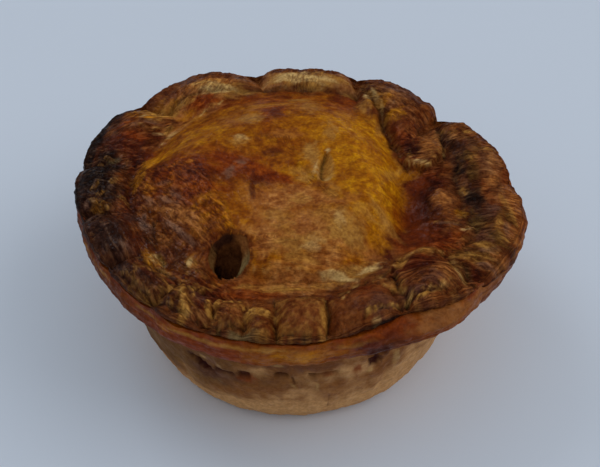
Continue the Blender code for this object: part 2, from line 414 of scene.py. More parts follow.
@dataclass
class PieForm:
    """The pie's driving sizes, as in the solid, and the height of its lid."""

    rim_height: float = 36.4
    lid_thickness: float = 2.3
    ledge_drop: float = 2.0
    flange_thickness: float = 5.6
    wall_top_radius: float = 43.4
    wall_bulge: float = 1.1
    base_corner: float = 3.6
    dome_height: float = 6.6
    dome_centre: tuple[float, float] = (-6.0, 4.0)
    lobe_crown: float = 1.7
    pinch_width: float = 1.9
    flange_reach: Row = (
        50.2, 48.6, 47.6, 46.4, 49.4, 49.5, 49.0, 49.2, 52.0, 51.6, 52.2, 51.5,
        50.4, 48.7, 47.9, 47.6, 48.1, 47.9, 47.3, 46.6, 47.8, 49.3, 49.7, 50.8,
    )
    ledge_width: Row = (
        1.0, 0.8, 0.8, 0.8, 0.8, 0.8, 0.8, 0.8, 0.8, 0.8, 0.8, 0.8,
        0.8, 0.9, 1.0, 1.1, 1.2, 1.6, 1.2, 2.0, 4.2, 2.6, 0.9, 0.6,
    )
    base_reach: Row = (34.8, 35.0, 35.0, 35.0, 35.0, 35.2, 35.4, 35.2, 36.8, 36.8, 35.8, 33.8)
    rim_rise: Row = (0.6, 0.6, 0.2, 0.2, 0.6, 0.6, 0.4, 0.2, 0.0, 0.0, 0.0, 0.4)
    dome_reach: Row = (29.5, 30.0, 35.0, 33.5, 30.0, 29.0, 30.5, 33.0, 36.5, 35.5, 36.5, 34.0)
    dome_shoulder: Row = (11.0, 14.0, 20.0, 23.0, 22.0, 18.0, 16.0, 18.0, 16.0, 13.0, 12.0, 10.0)
    # Angle, notch in the outline, crease depth, inner radius, turn of the crease inwards
    pinches: tuple[Row, ...] = (
        (38, 3.2, 2, 31, -5),
        (3, 0.6, 0.4, 43, 0),
        (-38, 0.5, 0.8, 41, -4),
        (-60, 0.3, 1.5, 35, 0),
        (-82, 0.4, 1.3, 36.5, 2),
        (-95, 0.4, 0.6, 36.5, 0),
        (-104, 0.3, 0.4, 39, 0),
        (-113, 0.3, 0.4, 38, 2),
        (-129, 0.3, 0.8, 38, 6),
        (-148, 0.4, 0.9, 38, 6),
        (-169, 0.5, 0.9, 38, 4),
        (171, 0.8, 1, 38, -3),
        (140, 1, 1.3, 38, -4),
        (103, 1.2, 1.5, 38.5, -2),
        (71, 1.9, 2, 35, -6),
    )
    # x, y, length, width, turn, height
    lumps: tuple[Row, ...] = (
        (23.8, -7, 15, 4.6, 84, -2.6),
        (28, 3, 4.5, 3.4, 0, -1.3),
        (28.5, -10.5, 5, 3, -25, -1.1),
        (31.3, -3.2, 3.8, 3.2, 70, 2.1),
        (33, -14.4, 5.5, 1.7, -32, 1.3),
        (26.5, -22.4, 8.5, 1.9, 28, 1.2),
        (29.4, 14, 8.5, 4, 102, 2),
        (21.4, 24, 10, 1.7, 98, -1.5),
        (27, -30.4, 7.2, 4.6, 16, 1.9),
        (14.4, -36.8, 6.2, 4, 18, 1.5),
        (36.5, -27, 6, 1.6, 60, -0.7),
        (1, -41.6, 4.6, 4.8, 0, 1.2),
        (-7.6, -43, 2.8, 2.6, -8, 0.9),
        (-13.4, -40.4, 4.2, 3.2, -14, 1),
        (-24, -35, 4.6, 3.6, -40, 0.9),
        (-33.5, -27.5, 5, 3.8, -48, 0.8),
        (-40, -14, 5.6, 4.2, -70, 0.8),
        (-43.5, 2, 6, 4.4, 88, 0.9),
        (-39, 20, 6.5, 4.8, 50, 1.1),
        (-25, 37, 7, 4.4, 24, 1),
        (3, 42, 7.5, 3.6, -4, 0.5),
        (25, 33.5, 7.5, 4.6, -40, 1),
        (41.5, 8, 12, 4.6, 84, 0.9),
        (42.5, -17, 9, 4.6, -72, 0.9),
        (-22, -4, 10, 6, -36, 1.2),
        (-30.5, -16, 8, 2, -58, -1.1),
        (-2, -31, 15, 1.8, -2, -0.8),
        (7.5, -15, 7.5, 6, 12, 0.8),
        (-8, 14, 12, 4, 8, 0.5),
        (12, 12, 7, 7, 0, 0.5),
    )
    # Angle, height, width, height of the dent, depth
    dents: tuple[Row, ...] = (
        (-118, 21, 7, 5, 0.8),
        (-62, 14, 2.4, 12, 0.7),
        (-35, 18, 7, 8, 0.7),
        (-150, 16, 8, 8, 0.6),
        (20, 15, 9, 9, 0.7),
        (75, 18, 8, 9, 0.7),
        (140, 14, 9, 8, 0.6),
    )

    def flange_radius(self, angle: Array) -> Array:
        """Outer radius of the case's flange, notched at the pinches.

        Args:
            angle: angles round the pie, in radians.

        Returns:
            The radius at each angle, in millimetres.
        """
        reach = around(self.flange_reach, angle)
        for degrees, notch, *_ in self.pinches:
            arc = np.abs(turn_between(angle, math.radians(degrees))) * reach
            reach = reach - notch * np.exp(-arc / self.pinch_width)
        return reach

    def lid_radius(self, angle: Array) -> Array:
        """Outer radius of the lid, which is set back from the flange by the ledge."""
        return self.flange_radius(angle) - around(self.ledge_width, angle)

    def rim_level(self, angle: Array) -> Array:
        """Height of the lid where it lies on the flange, before its lobes and lumps."""
        return self.rim_height + around(self.rim_rise, angle)

    def dome_share(self, x: Array, y: Array) -> Array:
        """How far up the dome's shoulder each point is.

        Args:
            x: plan coordinates, in millimetres.
            y: plan coordinates, in millimetres.

        Returns:
            Shares: below 0 on the rim, 0 where the dome starts and 1 on top.
        """
        out_x, out_y = x - self.dome_centre[0], y - self.dome_centre[1]
        angle = np.arctan2(out_y, out_x)
        inside = around(self.dome_reach, angle) - np.hypot(out_x, out_y)
        return np.clip(inside / around(self.dome_shoulder, angle), -1.0, 1.0)

    def dome_lift(self, x: Array, y: Array) -> Array:
        """Height of the filled middle of the lid over its rim."""
        rise = np.clip(self.dome_share(x, y), 0.0, 1.0)
        return self.dome_height * (0.45 * smooth(rise) + 0.55 * (1.0 - (1.0 - rise) ** 2))

    def lobes(self, radius: Array, angle: Array) -> Array:
        """Crowned lobes between the pinches, less the creases at the pinches.

        Args:
            radius: how far each point is from the pie's axis, in millimetres.
            angle: its angle round the pie, in radians.

        Returns:
            What the lobes add to the height at each point, in millimetres.
        """
        order = sorted(self.pinches)
        inwards = 3.0 * np.clip(1.0 - radius / self.lid_radius(angle), 0.0, 0.34)
        height = np.zeros_like(radius)
        for here, after in zip(order, order[1:] + order[:1]):
            low = math.radians(here[0]) + math.radians(here[4]) * inwards
            high = math.radians(after[0]) + math.radians(after[4]) * inwards
            span = (high - low) % (2.0 * math.pi)
            share = ((angle - low) % (2.0 * math.pi)) / span
            crown = np.clip(1.0 - np.abs(2.0 * share - 1.0) ** 4.0, 0.0, 1.0)
            inner = 0.5 * (here[3] + after[3])
            crown = self.lobe_crown * np.where(share < 1.0, crown, 0.0)
            height += crown * smooth((radius - inner + 3.0) / 8.0)
            arc = np.abs(turn_between(angle, low)) * radius
            height -= here[2] * np.exp(-arc / self.pinch_width) * smooth((radius - here[3]) / 5.0)
        return height

    def lid_level(self, x: Array, y: Array) -> Array:
        """Height of the lid's upper face, as in the solid.

        Args:
            x: plan coordinates, in millimetres.
            y: plan coordinates, in millimetres.

        Returns:
            The height at each point, in millimetres.
        """
        radius, angle = np.hypot(x, y), np.arctan2(y, x)
        height = self.rim_level(angle) + self.dome_lift(x, y) + self.lobes(radius, angle)
        for row in self.lumps:
            height += row[5] * swell(x, y, row)
        from_edge = self.lid_radius(angle) - radius
        return height - 1.5 * np.exp(-np.clip(from_edge, 0.0, None) / 2.2)


@dataclass(frozen=True)
class Grain:
    """A patch of skin whose streaks and ripples all run one way, or curl about a hub."""

    spot: Row
    spacing: float = 0.8
    stretch: float = 5.0
    streak: float = 0.6
    ridge: float = 0.12
    hub: tuple[float, float] | None = None

    def flow(self, x: Array, y: Array) -> tuple[Array, Array]:
        """Distances along and across the streaks.

        Args:
            x: plan coordinates, in millimetres.
            y: plan coordinates, in millimetres.

        Returns:
            How far along and across each point is, in millimetres.
        """
        if self.hub is None:
            turn = math.radians(self.spot[4])
            return x * math.cos(turn) + y * math.sin(turn), y * math.cos(turn) - x * math.sin(turn)
        away_x, away_y = x - self.hub[0], y - self.hub[1]
        radius, angle = np.hypot(away_x, away_y), np.arctan2(away_y, away_x)
        return angle * math.hypot(self.spot[0] - self.hub[0], self.spot[1] - self.hub[1]), radius

    def cover(self, x: Array, y: Array) -> Array:
        """How firmly each point belongs to this patch."""
        along, across = oval(x, y, self.spot)
        return np.exp(-1.2 * (along**2 + across**2))


@dataclass
class LidSurface:
    """Everything that shows on the lid beyond its form: folds, grain, flakes and browning."""

    form: PieForm
    # How far folds and flakes stray from their lines, in millimetres
    stray: float = 0.4
    # How high thin flakes stand, in millimetres
    flake_height: float = 0.26
    # How much the bake varies, in broad mottles and in fine flecks
    mottle_strength: float = 0.24
    fleck_strength: float = 0.17
    # How thick the glaze lies between its pools, and how much that varies
    glaze_level: float = 0.24
    glaze_spread: float = 0.25
    # Each fold's line, width, depth, step up to its left, darkness (painted shade in its groove), paleness
    # and the step's reach
    folds: tuple[Fold, ...] = (
        # Crease between the filling and the back rim
        Fold(((-33, 27), (-27, 33), (-18, 36.6), (-8, 38), (2, 37.6), (10, 37.2), (15, 37)),
             1.1, 0.35, -0.4, 0.25, 0.1),
        # Deep crease beside the right-hand lobe, pale where it opens
        Fold(((16.5, 42), (18.3, 35), (20.3, 29), (21.4, 22.5), (23.2, 14), (25, 8)),
             0.9, 0.8, -0.6, 0.5, 0.3),
        # Tip of the folded lobe, lying over the valley
        Fold(((25, 9.4), (27, 6.9), (28.7, 6.2), (30.5, 6.2), (32.2, 7.6), (34.1, 10.5)),
             0.4, 0.3, 1.4, 0.3, 1.2, 3.5),
        Fold(((33.2, 10), (34.2, 13), (34.3, 18), (33.6, 24)), 0.6, 1.0, 0.3, 0.8, 0.1),
        # Inner border of the right band
        Fold(((36.3, 6.5), (35.4, 2), (36.4, -3), (35.8, -8), (37.4, -12), (38.4, -16), (36, -19.5)),
             0.7, 0.4, -0.4, 0.2, 0.15),
        Fold(((30.5, -12.6), (34, -13.6), (37, -15.2), (35.6, -17)), 0.5, 0.2, 0.6, 0.1, 0.6),
        # Pale crease in front of the filling
        Fold(((-12, -29.4), (-4, -29), (4, -29.6), (9, -29.4), (12, -28.2), (16.5, -26)),
             0.6, 0.25, 0.5, 0.0, 0.55),
        # Square lobe at the front: its sides and its foot
        Fold(((-4.3, -37), (-4.4, -41), (-4.0, -45.6)), 0.3, 0.5, 0.2, 0.5, 0.4),
        Fold(((5.9, -45.6), (6.3, -41), (6.0, -36.4)), 0.35, 0.8, 0.3, 0.7, 1.1),
        Fold(((5.4, -45.2), (1.7, -46.2), (-3.8, -45.4)), 0.35, 0.5, 0.3, 0.8, 0.0),
        Fold(((5.9, -36.2), (1, -35.6), (-4.2, -36.6)), 0.5, 0.3, 0.3, 0.2, 0.5),
        # Small flakes to its left
        Fold(((-9.9, -38), (-9.7, -41), (-9.9, -44)), 0.3, 0.3, 0.0, 0.3, 0.5),
        Fold(((-16.6, -38), (-16.4, -41), (-15.6, -44)), 0.3, 0.3, 0.0, 0.4, 0.6),
        Fold(((-15.4, -44), (-10.1, -43.6)), 0.35, 0.5, 0.0, 0.8, 0.0),
        # Undercut flake at the front left
        Fold(((-36, -29), (-30, -34.6), (-25, -38.6), (-19.6, -41.6), (-15.5, -43.4)),
             0.5, 0.7, 0.5, 0.7, 0.4),
        Fold(((-33, -24.5), (-28.5, -28), (-24, -32), (-20, -34.4), (-15, -35.2)),
             0.5, 0.5, 0.4, 0.5, 0.25),
        Fold(((-24.4, -37.4), (-22, -35.4), (-20.4, -32.8)), 0.4, 0.4, 0.4, 0.5, 0.5),
        # Pale crest that runs into the left end of the filling, and the crease in front of it
        Fold(((-31.1, 15.6), (-27.8, 19), (-24.5, 23.1), (-21.3, 29.2), (-17.8, 32.4)),
             0.8, 0.0, 0.3, 0.0, 1.0),
        Fold(((-32.2, -9.4), (-31.2, -13.4), (-30, -18)), 0.5, 0.7, -0.5, 0.8, 0.0),
        # Cracked foot and straw top edge of the middle roll
        Fold(((13.2, -41.2), (16.8, -39.2), (20.2, -37.2), (22.6, -36.2)), 0.4, 0.7, 0.3, 0.8, 0.6),
        Fold(((9.7, -37.3), (11.2, -33.5), (14, -30.8), (17.1, -30), (19.5, -31)), 0.5, 0.2, 0.2, 0.1, 0.9),
        # Between the two rolls
        Fold(((20.4, -29), (20.8, -32.6), (22.4, -35.4), (22.8, -38)), 0.55, 1.0, 0.2, 0.6, 0.5),
        Fold(((8.4, -35.8), (12, -32), (17, -29.6), (20, -28.8)), 0.6, 0.5, 0.0, 0.4, 0.3),
        Fold(((15.6, -31.6), (18.6, -31.9), (21.2, -34)), 0.4, 0.3, 0.5, 0.2, 0.8),
        # Top edge, crest and foot of the right-hand roll
        Fold(((19.8, -27.4), (21.6, -24.6), (25, -22.8), (30, -22.4)), 0.5, 0.5, 0.4, 0.2, 0.7),
        Fold(((31, -23.4), (33.2, -25.6), (34.4, -27.6), (34.2, -29.6)), 0.9, 0.3, -0.6, 0.1, 0.6),
        Fold(((22.6, -36.2), (25.6, -34.6), (28.4, -33.6), (31.6, -32)), 0.5, 0.6, 0.2, 0.6, 0.7),
        Fold(((35, -25.6), (35.6, -28), (36.6, -30.6)), 0.5, 0.8, 0.2, 0.8, 0.1),
        Fold(((25, -38), (29.6, -36), (33, -33)), 0.4, 0.4, 0.2, 0.5, 0.3),
        # Left border of the filling
        Fold(((-36.8, 7), (-37.6, 0), (-36.6, -6), (-34.6, -12), (-31.6, -17), (-28.4, -21), (-26, -27)),
             0.9, 0.5, 0.3, 0.2, 0.0),
        Fold(((-36.6, 19.4), (-33.4, 19.6), (-30.6, 20.8)), 0.5, 0.3, 0.6, 0.1, 0.6),
        Fold(((-24, 1), (-23, -6), (-20, -12), (-16.5, -17)), 1.0, 0.05, 0.3, 0.0, 0.0, 4.0),
    )
    # Each patch's spot, spacing of its streaks, stretch, strength of streaks, ridge height and hub
    grains: tuple[Grain, ...] = (
        # Filling: long level streaks at the back, down to the right at the left, fine crazing in the middle
        Grain((0, 28, 26, 13, 6), 1.6, 5.0, 0.2, 0.07),
        Grain((-24, 16, 13, 8, 58), 1.4, 5.0, 0.22, 0.1),
        Grain((-27, -9, 13, 7.5, -52), 0.8, 3.4, 1.0, 0.26),
        Grain((-21, -15, 8, 5, -50), 0.75, 3.4, 0.9, 0.22),
        Grain((-10, -3, 10, 9, -62), 1.0, 2.0, 0.24, 0.06),
        Grain((-5, -14, 9, 6, 10), 0.9, 1.8, 0.18, 0.05),
        Grain((6, -19, 8, 5.5, 8), 0.7, 2.2, 0.22, 0.06),
        Grain((1, -27, 16, 3.2, 2), 0.8, 4.0, 0.4, 0.12),
        Grain((15, -17, 5, 8, -40), 1.0, 3.0, 0.16, 0.06),
        Grain((13, 8, 10, 18, 20), 1.6, 2.0, 0.1, 0.04),
        Grain((20.5, -2, 12, 4, 66), 1.0, 3.0, 0.18, 0.06),
        Grain((24.5, -8, 15, 4, 84), 1.2, 2.0, 0.12, 0.04),
        # Right-hand lobe, fold tip, knob and ridge
        Grain((24, 33, 11, 6, -48), 0.9, 3.4, 0.8, 0.2),
        Grain((29.6, 13, 8, 4, 100), 0.6, 5.0, 0.9, 0.16, (30.5, 24.0)),
        Grain((32, -4, 3.4, 3.4, 0), 0.6, 3.0, 0.6, 0.1),
        Grain((34, -14.6, 4.5, 2, -24), 0.6, 5.0, 0.5, 0.06),
        # Right band, whose ripples cross it
        Grain((42, 3, 8, 13, 6), 0.85, 4.0, 0.8, 0.24),
        Grain((42, -13, 8, 9, -14), 0.8, 4.0, 0.8, 0.26),
        Grain((37, 18, 6, 9, 30), 0.85, 3.4, 0.8, 0.22),
        Grain((36, -23, 7, 5, -20), 0.7, 3.4, 0.9, 0.22),
        # Rolls
        Grain((27.4, -29, 8.2, 6.2, 18), 0.8, 6.0, 0.9, 0.3, (27.0, -38.5)),
        Grain((15, -35.5, 7, 5, 24), 0.9, 4.0, 0.35, 0.06),
        # Front, and round to the back by way of the left
        Grain((0, -33, 12, 2.4, 2), 0.8, 3.0, 0.45, 0.14),
        Grain((1, -41, 5, 5, 80), 0.7, 1.6, 0.2, 0.03),
        Grain((-8, -41, 4, 4.5, 10), 0.7, 1.6, 0.5, 0.1),
        Grain((-22, -34, 9, 5.5, -38), 0.8, 4.0, 0.9, 0.26),
        Grain((-33, -24, 9, 6, -62), 0.8, 4.0, 0.8, 0.2),
        Grain((-42, -8, 6, 9, -30), 0.7, 2.2, 1.0, 0.3),
        Grain((-42, 6, 6, 8, 0), 0.7, 2.5, 1.0, 0.26),
        Grain((-38, 21, 8, 8, 26), 1.0, 3.0, 0.9, 0.26),
        Grain((-23, 38, 10, 5, 60), 0.9, 2.5, 0.7, 0.2),
        Grain((2, 42, 12, 4, 86), 1.0, 3.0, 0.6, 0.16),
    )
    # Flat-topped flakes and thin curls: x, y, half length, half width, turn, height, and how pale
    plates: tuple[Row, ...] = (
        (0.9, -41, 4.7, 4.7, -2, 0.6, 0),
        (-13, -40.7, 2.9, 3, -4, 0.6, 0),
        (-7, -43.8, 2, 1.8, -6, 0.6, 0),
        (-20, -30.6, 3.4, 2, -30, 0.3, 0),
        (-30.5, -31.5, 4, 2.4, -44, 0.3, 0),
        (37.2, 21, 2.6, 2.2, 40, 0.3, 0),
        (-24.4, -33.4, 1.7, 1.2, 20, 0.4, 0.7),
        (-22.4, -37.6, 0.6, 2.4, 16, 0.7, 0.9),
        (-21.2, -34.4, 0.5, 1.9, -40, 0.6, 0.9),
        (-19.6, -34.8, 0.5, 1.7, -46, 0.6, 0.8),
        (-17.4, -38.6, 0.6, 1.5, 10, 0.6, 0.9),
        (-15.6, -37, 0.5, 1.2, -20, 0.5, 0.8),
        (-9.6, -40.6, 0.5, 1.6, 30, 0.5, 0.8),
        (-6.6, -40.4, 2.6, 0.7, -12, 0.5, 0.8),
        (-25.4, -37.6, 1.2, 0.5, -50, 0.5, 0.7),
        (-13, -37.4, 2.4, 0.5, 6, 0.4, 0.6),
        (15, -40.2, 1.5, 0.5, 24, 0.6, 1),
        (19, -37.8, 1.1, 0.5, 30, 0.6, 0.9),
        (25.6, -35.2, 1.3, 0.4, 28, 0.5, 0.8),
        (-45.4, 8.4, 0.5, 1, 30, 0.5, 0.3),
        (-43.4, 9.6, 1, 0.4, -20, 0.5, 0.4),
        (-45.2, -1.6, 0.5, 1.3, -10, 0.5, 0.3),
        (-43.6, -4, 0.9, 0.4, 30, 0.5, 0.4),
        (-45, -6, 0.5, 1, 20, 0.5, 0.3),
        (-42.2, -7.4, 1.2, 0.4, -40, 0.5, 0.4),
        (-41, 0.4, 0.5, 1.4, -30, 0.5, 0.3),
        (-38.2, -5.4, 1.6, 0.5, -50, 0.4, 0.3),
        (41, 19, 1.6, 0.5, 10, 0.4, 0.6),
        (44.6, 11.4, 1.6, 0.5, -4, 0.4, 0.5),
        (36.2, -10.2, 1.2, 0.5, 16, 0.4, 0.7),
    )
    # Where the egg glaze has pooled: x, y, length, width, turn, thickness
    pools: tuple[Row, ...] = (
        (-34, -16, 8, 12, 20, 0.8),
        (-16, -6, 14, 8, -30, 0.6),
        (-42, 2, 7, 14, 0, 0.7),
        (31.5, -3, 4, 5, 0, 0.45),
        (28, -10, 5, 9, 0, 0.25),
        (-24, -28, 8, 5, -40, 0.5),
    )
    # The little blown blister by the square lobe: x, y, radius
    ring: Row = (-9.0, -41.4, 0.95)
    # Broad browning, from the bake, with a broad painted reflection on the dome: x, y, half length, half
    # width, turn, strength
    bake: Coats = (
        (Tone.GOLD, (
            (14, 5, 9, 13, 0, 0.95), (16, -9, 7, 8, 0, 0.9), (17, 18, 6, 9, 10, 0.85),
            (6, 15, 6, 7, 0, 0.6), (3, -3, 6, 5, 0, 0.7), (-22, 13, 9, 5, 40, 0.5),
            (-34, 28, 6, 4, 40, 0.6), (20.5, 2, 4, 8, 0, 0.6),
        )),
        # Fawn: on the back crest its own paler pastry; over the middle and front of the dome partly paler
        # pastry and partly painted reflection of the sky
        (Tone.FAWN, (
            (1, -11, 8, 5, 0, 0.8), (-6, -12, 6, 6, 0, 0.75), (3, -22, 10, 6, 0, 0.9),
            (-22.5, 37.5, 8, 4, 10, 0.9), (-5, 42, 6, 3.4, 0, 0.9), (-8, -22, 5, 4, 0, 0.6),
            (-2, -30.5, 11, 3.6, 0, 0.8), (11, 27, 3, 4, 10, 0.5),
        )),
        (Tone.RUST, (
            (-14, -1, 15, 5.4, -12, 0.95), (-25, -6, 10, 7, -40, 0.9), (-10, 32, 16, 4, 6, 0.7),
            (-6, 20, 8, 3, 86, 0.7), (11, 32, 7, 4, 60, 0.7), (-34, 6, 8, 4, 84, 0.8),
            (-24, 31, 6, 3.5, 50, 0.7), (22.6, -11, 9, 2.6, 88, 0.5), (-12, -33, 9, 3.4, 0, 0.6),
            (29, -19.5, 8, 4, 14, 0.8), (46, -6, 3.5, 17, 4, 0.4), (24.6, 18, 10, 3.6, 100, 0.8),
        )),
        (Tone.NUT, (
            (-29, -15, 13, 7, -52, 0.95), (-20, -23, 7, 5, -30, 0.8), (-37, 17, 7, 6, 40, 0.8),
            (0, -40, 24, 6, 0, 0.9), (24, 28, 9, 5, -60, 0.8), (18, -35, 10, 5, 24, 0.9),
            (30, -30, 8, 6, 30, 0.8),
        )),
        (Tone.RUSSET, (
            (26.6, 14, 5, 2.6, 100, 0.9), (27.6, -7, 13, 4, 85, 1.0), (30, 1.5, 5, 4.5, 0, 1.0),
            (28, -14.5, 6, 4.4, 20, 0.8), (-36.5, -2, 12, 3, 84, 0.9), (-40, 13, 6, 5, 20, 0.8),
            (-22, -33, 12, 5.6, -34, 0.85), (24.6, -26, 6, 2.4, 24, 0.9),
        )),
        (Tone.UMBER, (
            (-45.5, 0, 18, 6.0, 90, 0.95), (-47, 22, 13, 3.4, 64, 0.8), (-40.5, -19, 14, 6, -64, 1.0),
            (38.4, -2, 3.4, 12, 0, 0.6), (36.4, 13, 2.6, 8, 10, 0.7), (-31, -33, 12, 4.2, -42, 0.5),
            (33, 37.4, 10, 2, -50, 0.6),
        )),
        (Tone.TAN, (
            (-4, 42.6, 9, 3, 0, 0.8), (11, 41, 7, 3, -10, 0.6), (24, 34, 6, 3, -44, 0.5),
            (44, 4, 3.4, 10, 4, 0.4),
        )),
    )
    # Smaller patches: pale flakes, stains, scorched edges, thick glaze and painted sheen, in the order they
    # are brushed on
    marks: Coats = (
        (Tone.FAWN, (
            (-28.6, 20, 5.4, 1.6, 57, 0.9), (-22.4, 27.8, 6, 1.5, 42, 0.85), (-16, 18, 2.4, 3.5, 0, 0.4),
            (31, 14, 3, 6, 10, 0.7), (-2.5, 11, 4, 2, 10, 0.5), (31.4, -5.4, 2.3, 2, 0, 0.95),
            (-23.5, -15, 6, 1.5, -50, 0.7), (47.6, -6, 2, 8, 0, 0.6), (15.6, -23.6, 2.6, 2.4, 0, 0.5),
            (44, 2, 1.6, 3, 0, 0.7), (41, -24.6, 3, 2, -40, 0.6), (46, -17, 2.4, 3, 20, 0.6),
            (1.4, -40, 2.6, 2.6, 0, 0.2), (24, 33, 2.6, 2, 0, 0.6), (-12.6, -40, 1.6, 1.8, 0, 0.4),
            (30.6, -31.4, 2, 2.4, 0, 0.5),
        )),
        (Tone.STRAW, (
            (3, 4, 2, 4.4, 0, 0.9), (7.6, 12, 1.8, 4, 0, 0.7), (3, 24, 2.4, 4, 0, 0.5),
            (-13, 8.4, 2.4, 1.8, 0, 0.7), (-9.5, 18, 1.8, 2.6, 0, 0.6), (1.5, -4.6, 2, 1.8, 0, 0.8),
            (21.6, 3, 7, 1.4, 66, 0.5), (19, -14, 5, 1.5, -50, 0.6), (9.6, -20.4, 4, 2.6, 10, 0.95),
            (-1.4, -23.6, 4, 2, 0, 0.7), (0.8, -26.6, 4, 1.5, 0, 0.6), (6, -17, 4, 3, 0, 0.5),
            (-4, -17, 3.6, 2.4, 0, 0.6), (0.6, -12, 2.6, 2, 0, 0.6), (14, -15, 3, 2.4, 0, 0.5),
            (20, 22, 1.2, 5, -10, 0.4), (-22.4, 37.6, 5, 2.4, 10, 0.9), (-32.4, 28.6, 5, 2, 30, 0.8),
            (-1.3, -32.5, 4, 1, 0, 0.7), (8.4, 41, 3, 2, 10, 0.8), (12, -28.4, 5, 1.8, 24, 0.7),
            (18.3, 37.6, 2.6, 1.2, -66, 0.8), (-22, -26, 1.4, 1.4, 0, 0.5), (22, -24.6, 2.6, 1.1, 50, 0.6),
            (33.4, -27.4, 1.1, 3, 30, 0.8), (27.4, -33.9, 2.6, 0.8, 24, 0.7),
            (19.6, -32.4, 2, 0.9, -24, 0.8), (-22.6, -39.2, 1, 2.2, 14, 0.9),
            (-17.4, -38.8, 0.9, 1.6, 10, 0.8), (5.4, -40.4, 0.8, 4, 0, 0.7), (2.4, -35.8, 3, 0.7, 4, 0.6),
            (-6.6, -40.8, 3, 1, -10, 0.7), (37.5, -1.5, 1.2, 1.4, 0, 0.8), (39, 8.5, 2, 1.6, 0, 0.5),
            (43.4, -19, 1.6, 2, 0, 0.5), (27, -21.8, 2.4, 0.8, 0, 0.5),
        )),
        (Tone.CREAM, (
            (17.6, 35, 2.4, 0.8, -66, 0.8), (15, -26.8, 3, 0.9, 28, 0.9), (8.4, -29.5, 4, 1.0, -4, 0.95),
            # The cream at 36.4, -15.4, on the ridge's tip, is a painted glint
            (2, 42.6, 1.6, 1.6, 0, 0.4), (28.6, 7.3, 2, 0.7, -30, 0.9), (36.4, -15.4, 1.2, 0.6, 0, 0.7),
            (-33, 18.4, 1.4, 0.5, 20, 0.5), (16.2, -41, 1.2, 0.4, 20, 0.4), (33.9, -28.6, 0.7, 2, 20, 0.7),
            (7, 5, 0.6, 0.8, 0, 0.8),
        )),
        (Tone.DOUGH, (
            (3, 41.4, 1.6, 2.4, 0, 0.7), (-42.2, 9.6, 1.7, 0.8, 20, 0.7), (-15, 36.6, 4, 1.2, 0, 0.4),
            (-11, -45, 4, 0.8, -10, 0.7),
        )),
        (Tone.CREAM, (
            (-29.4, 19, 2.4, 0.8, 57, 0.5), (19.8, 35, 5, 0.7, -78, 0.8), (-12.8, 9.4, 1.6, 1.2, 0, 0.5),
        )),
        (Tone.STRAW, (
            (0.7, 30.4, 3.6, 1.6, 0, 0.7), (4, 39, 4, 1.8, 0, 0.8), (12.2, 41, 2.4, 1.2, 0, 0.7),
            (-12, 19, 3, 1.6, 10, 0.6), (-14, 37.5, 5, 1, 0, 0.5), (12.4, -19.6, 2, 3, 10, 0.6),
            (-6.6, 26, 3, 1.2, 10, 0.5), (-18, 22, 2, 1.4, 0, 0.4),
        )),
        (Tone.GOLD, (
            (-32.6, 7.4, 4, 2.6, 30, 0.9), (20, 33, 3, 3, 0, 0.5), (-8, 26, 5, 2, 10, 0.5),
            (-27, 27, 3, 1.6, 40, 0.6),
        )),
        (Tone.AMBER, (
            (12.6, -2.6, 3, 4, 0, 0.7), (-1.6, 16, 4, 2.6, 0, 0.6), (9, -10, 3, 3, 0, 0.4),
            (17, 10, 2, 4, 0, 0.4),
        )),
        (Tone.RUSSET, (
            (-32, 17.8, 3.6, 0.8, 2, 0.8), (-9.6, -7.6, 0.8, 5, 0, 0.8), (-5.4, 4.2, 3, 1.6, 10, 0.7),
            (-15.4, 34, 3, 1, 0, 0.6),
        )),
        (Tone.OLIVE, (
            (40, -14, 3, 4, 0, 0.5), (36, -22.4, 5, 1.6, -24, 0.6), (44.6, -12, 1.6, 4, 0, 0.5),
            (41, 13, 2, 4, 20, 0.4),
        )),
        (Tone.STRAW, (
            (35.6, -23.6, 4, 0.9, -24, 0.6), (39.6, -21, 0.8, 2.6, 10, 0.5), (43.6, -14, 0.7, 2, 0, 0.5),
            (47, -11, 0.7, 4, 8, 0.6),
        )),
        # Painted sheen: pale glints on the right band and the ridge
        (Tone.PAINTED_SHEEN, (
            (41, -22.4, 2.4, 0.8, -10, 0.6), (39.4, -25.4, 2, 0.8, -20, 0.6), (43, -9, 1.6, 1.6, 0, 0.4),
            (45, -16, 1, 2.4, 0, 0.4),
        )),
        (Tone.GARNET, (
            (37.4, -27.4, 2.4, 1.4, -30, 0.8), (41.6, -24.6, 3, 0.6, -40, 0.5), (39, -19, 1, 2, 0, 0.4),
            (45.6, 0, 0.8, 3, 0, 0.4),
        )),
        (Tone.SCORCH_AND_SHADE, (
            (-32, -18, 1.5, 3, 30, 0.8), (-30.6, -31, 4, 1.2, -44, 0.5), (30, -1, 1.2, 1.2, 0, 0.4),
        )),
        (Tone.GOLD, (
            (-30.6, -24, 4.5, 1.6, -66, 0.8), (-36, 1, 4, 1.6, 80, 0.5), (23.6, 27, 3, 2, 0, 0.7),
            (24.4, -3, 1.6, 4, 0, 0.5), (-34.6, 25.6, 3.4, 2, 40, 0.7), (-43.6, -7.4, 2, 1.2, 0, 0.3),
            (36, -9, 1.6, 1.4, 0, 0.6), (25.6, 5.6, 3, 1.6, 0, 0.6),
        )),
        (Tone.RUSSET, (
            (-8, -5.6, 3, 2.2, 0, 0.7), (-21, -4, 7, 2.4, -20, 0.7), (-5, 20.5, 2, 3.4, 0, 0.7),
            (9.5, 34.5, 3, 3, 0, 0.7), (-4, 34, 2.6, 3.4, 0, 0.5), (-12, -3, 1.4, 4, 10, 0.4),
            (19.2, -22.6, 1, 2.2, 0, 0.9), (-21, 29.6, 3, 1.6, 30, 0.7), (13.3, -33, 3.4, 1.6, 24, 0.9),
            (-30, 36, 4, 2, 40, 0.6), (36.4, -27.4, 1.6, 2, 0, 0.9), (-22.4, -22.6, 2, 2, 0, 0.7),
        )),
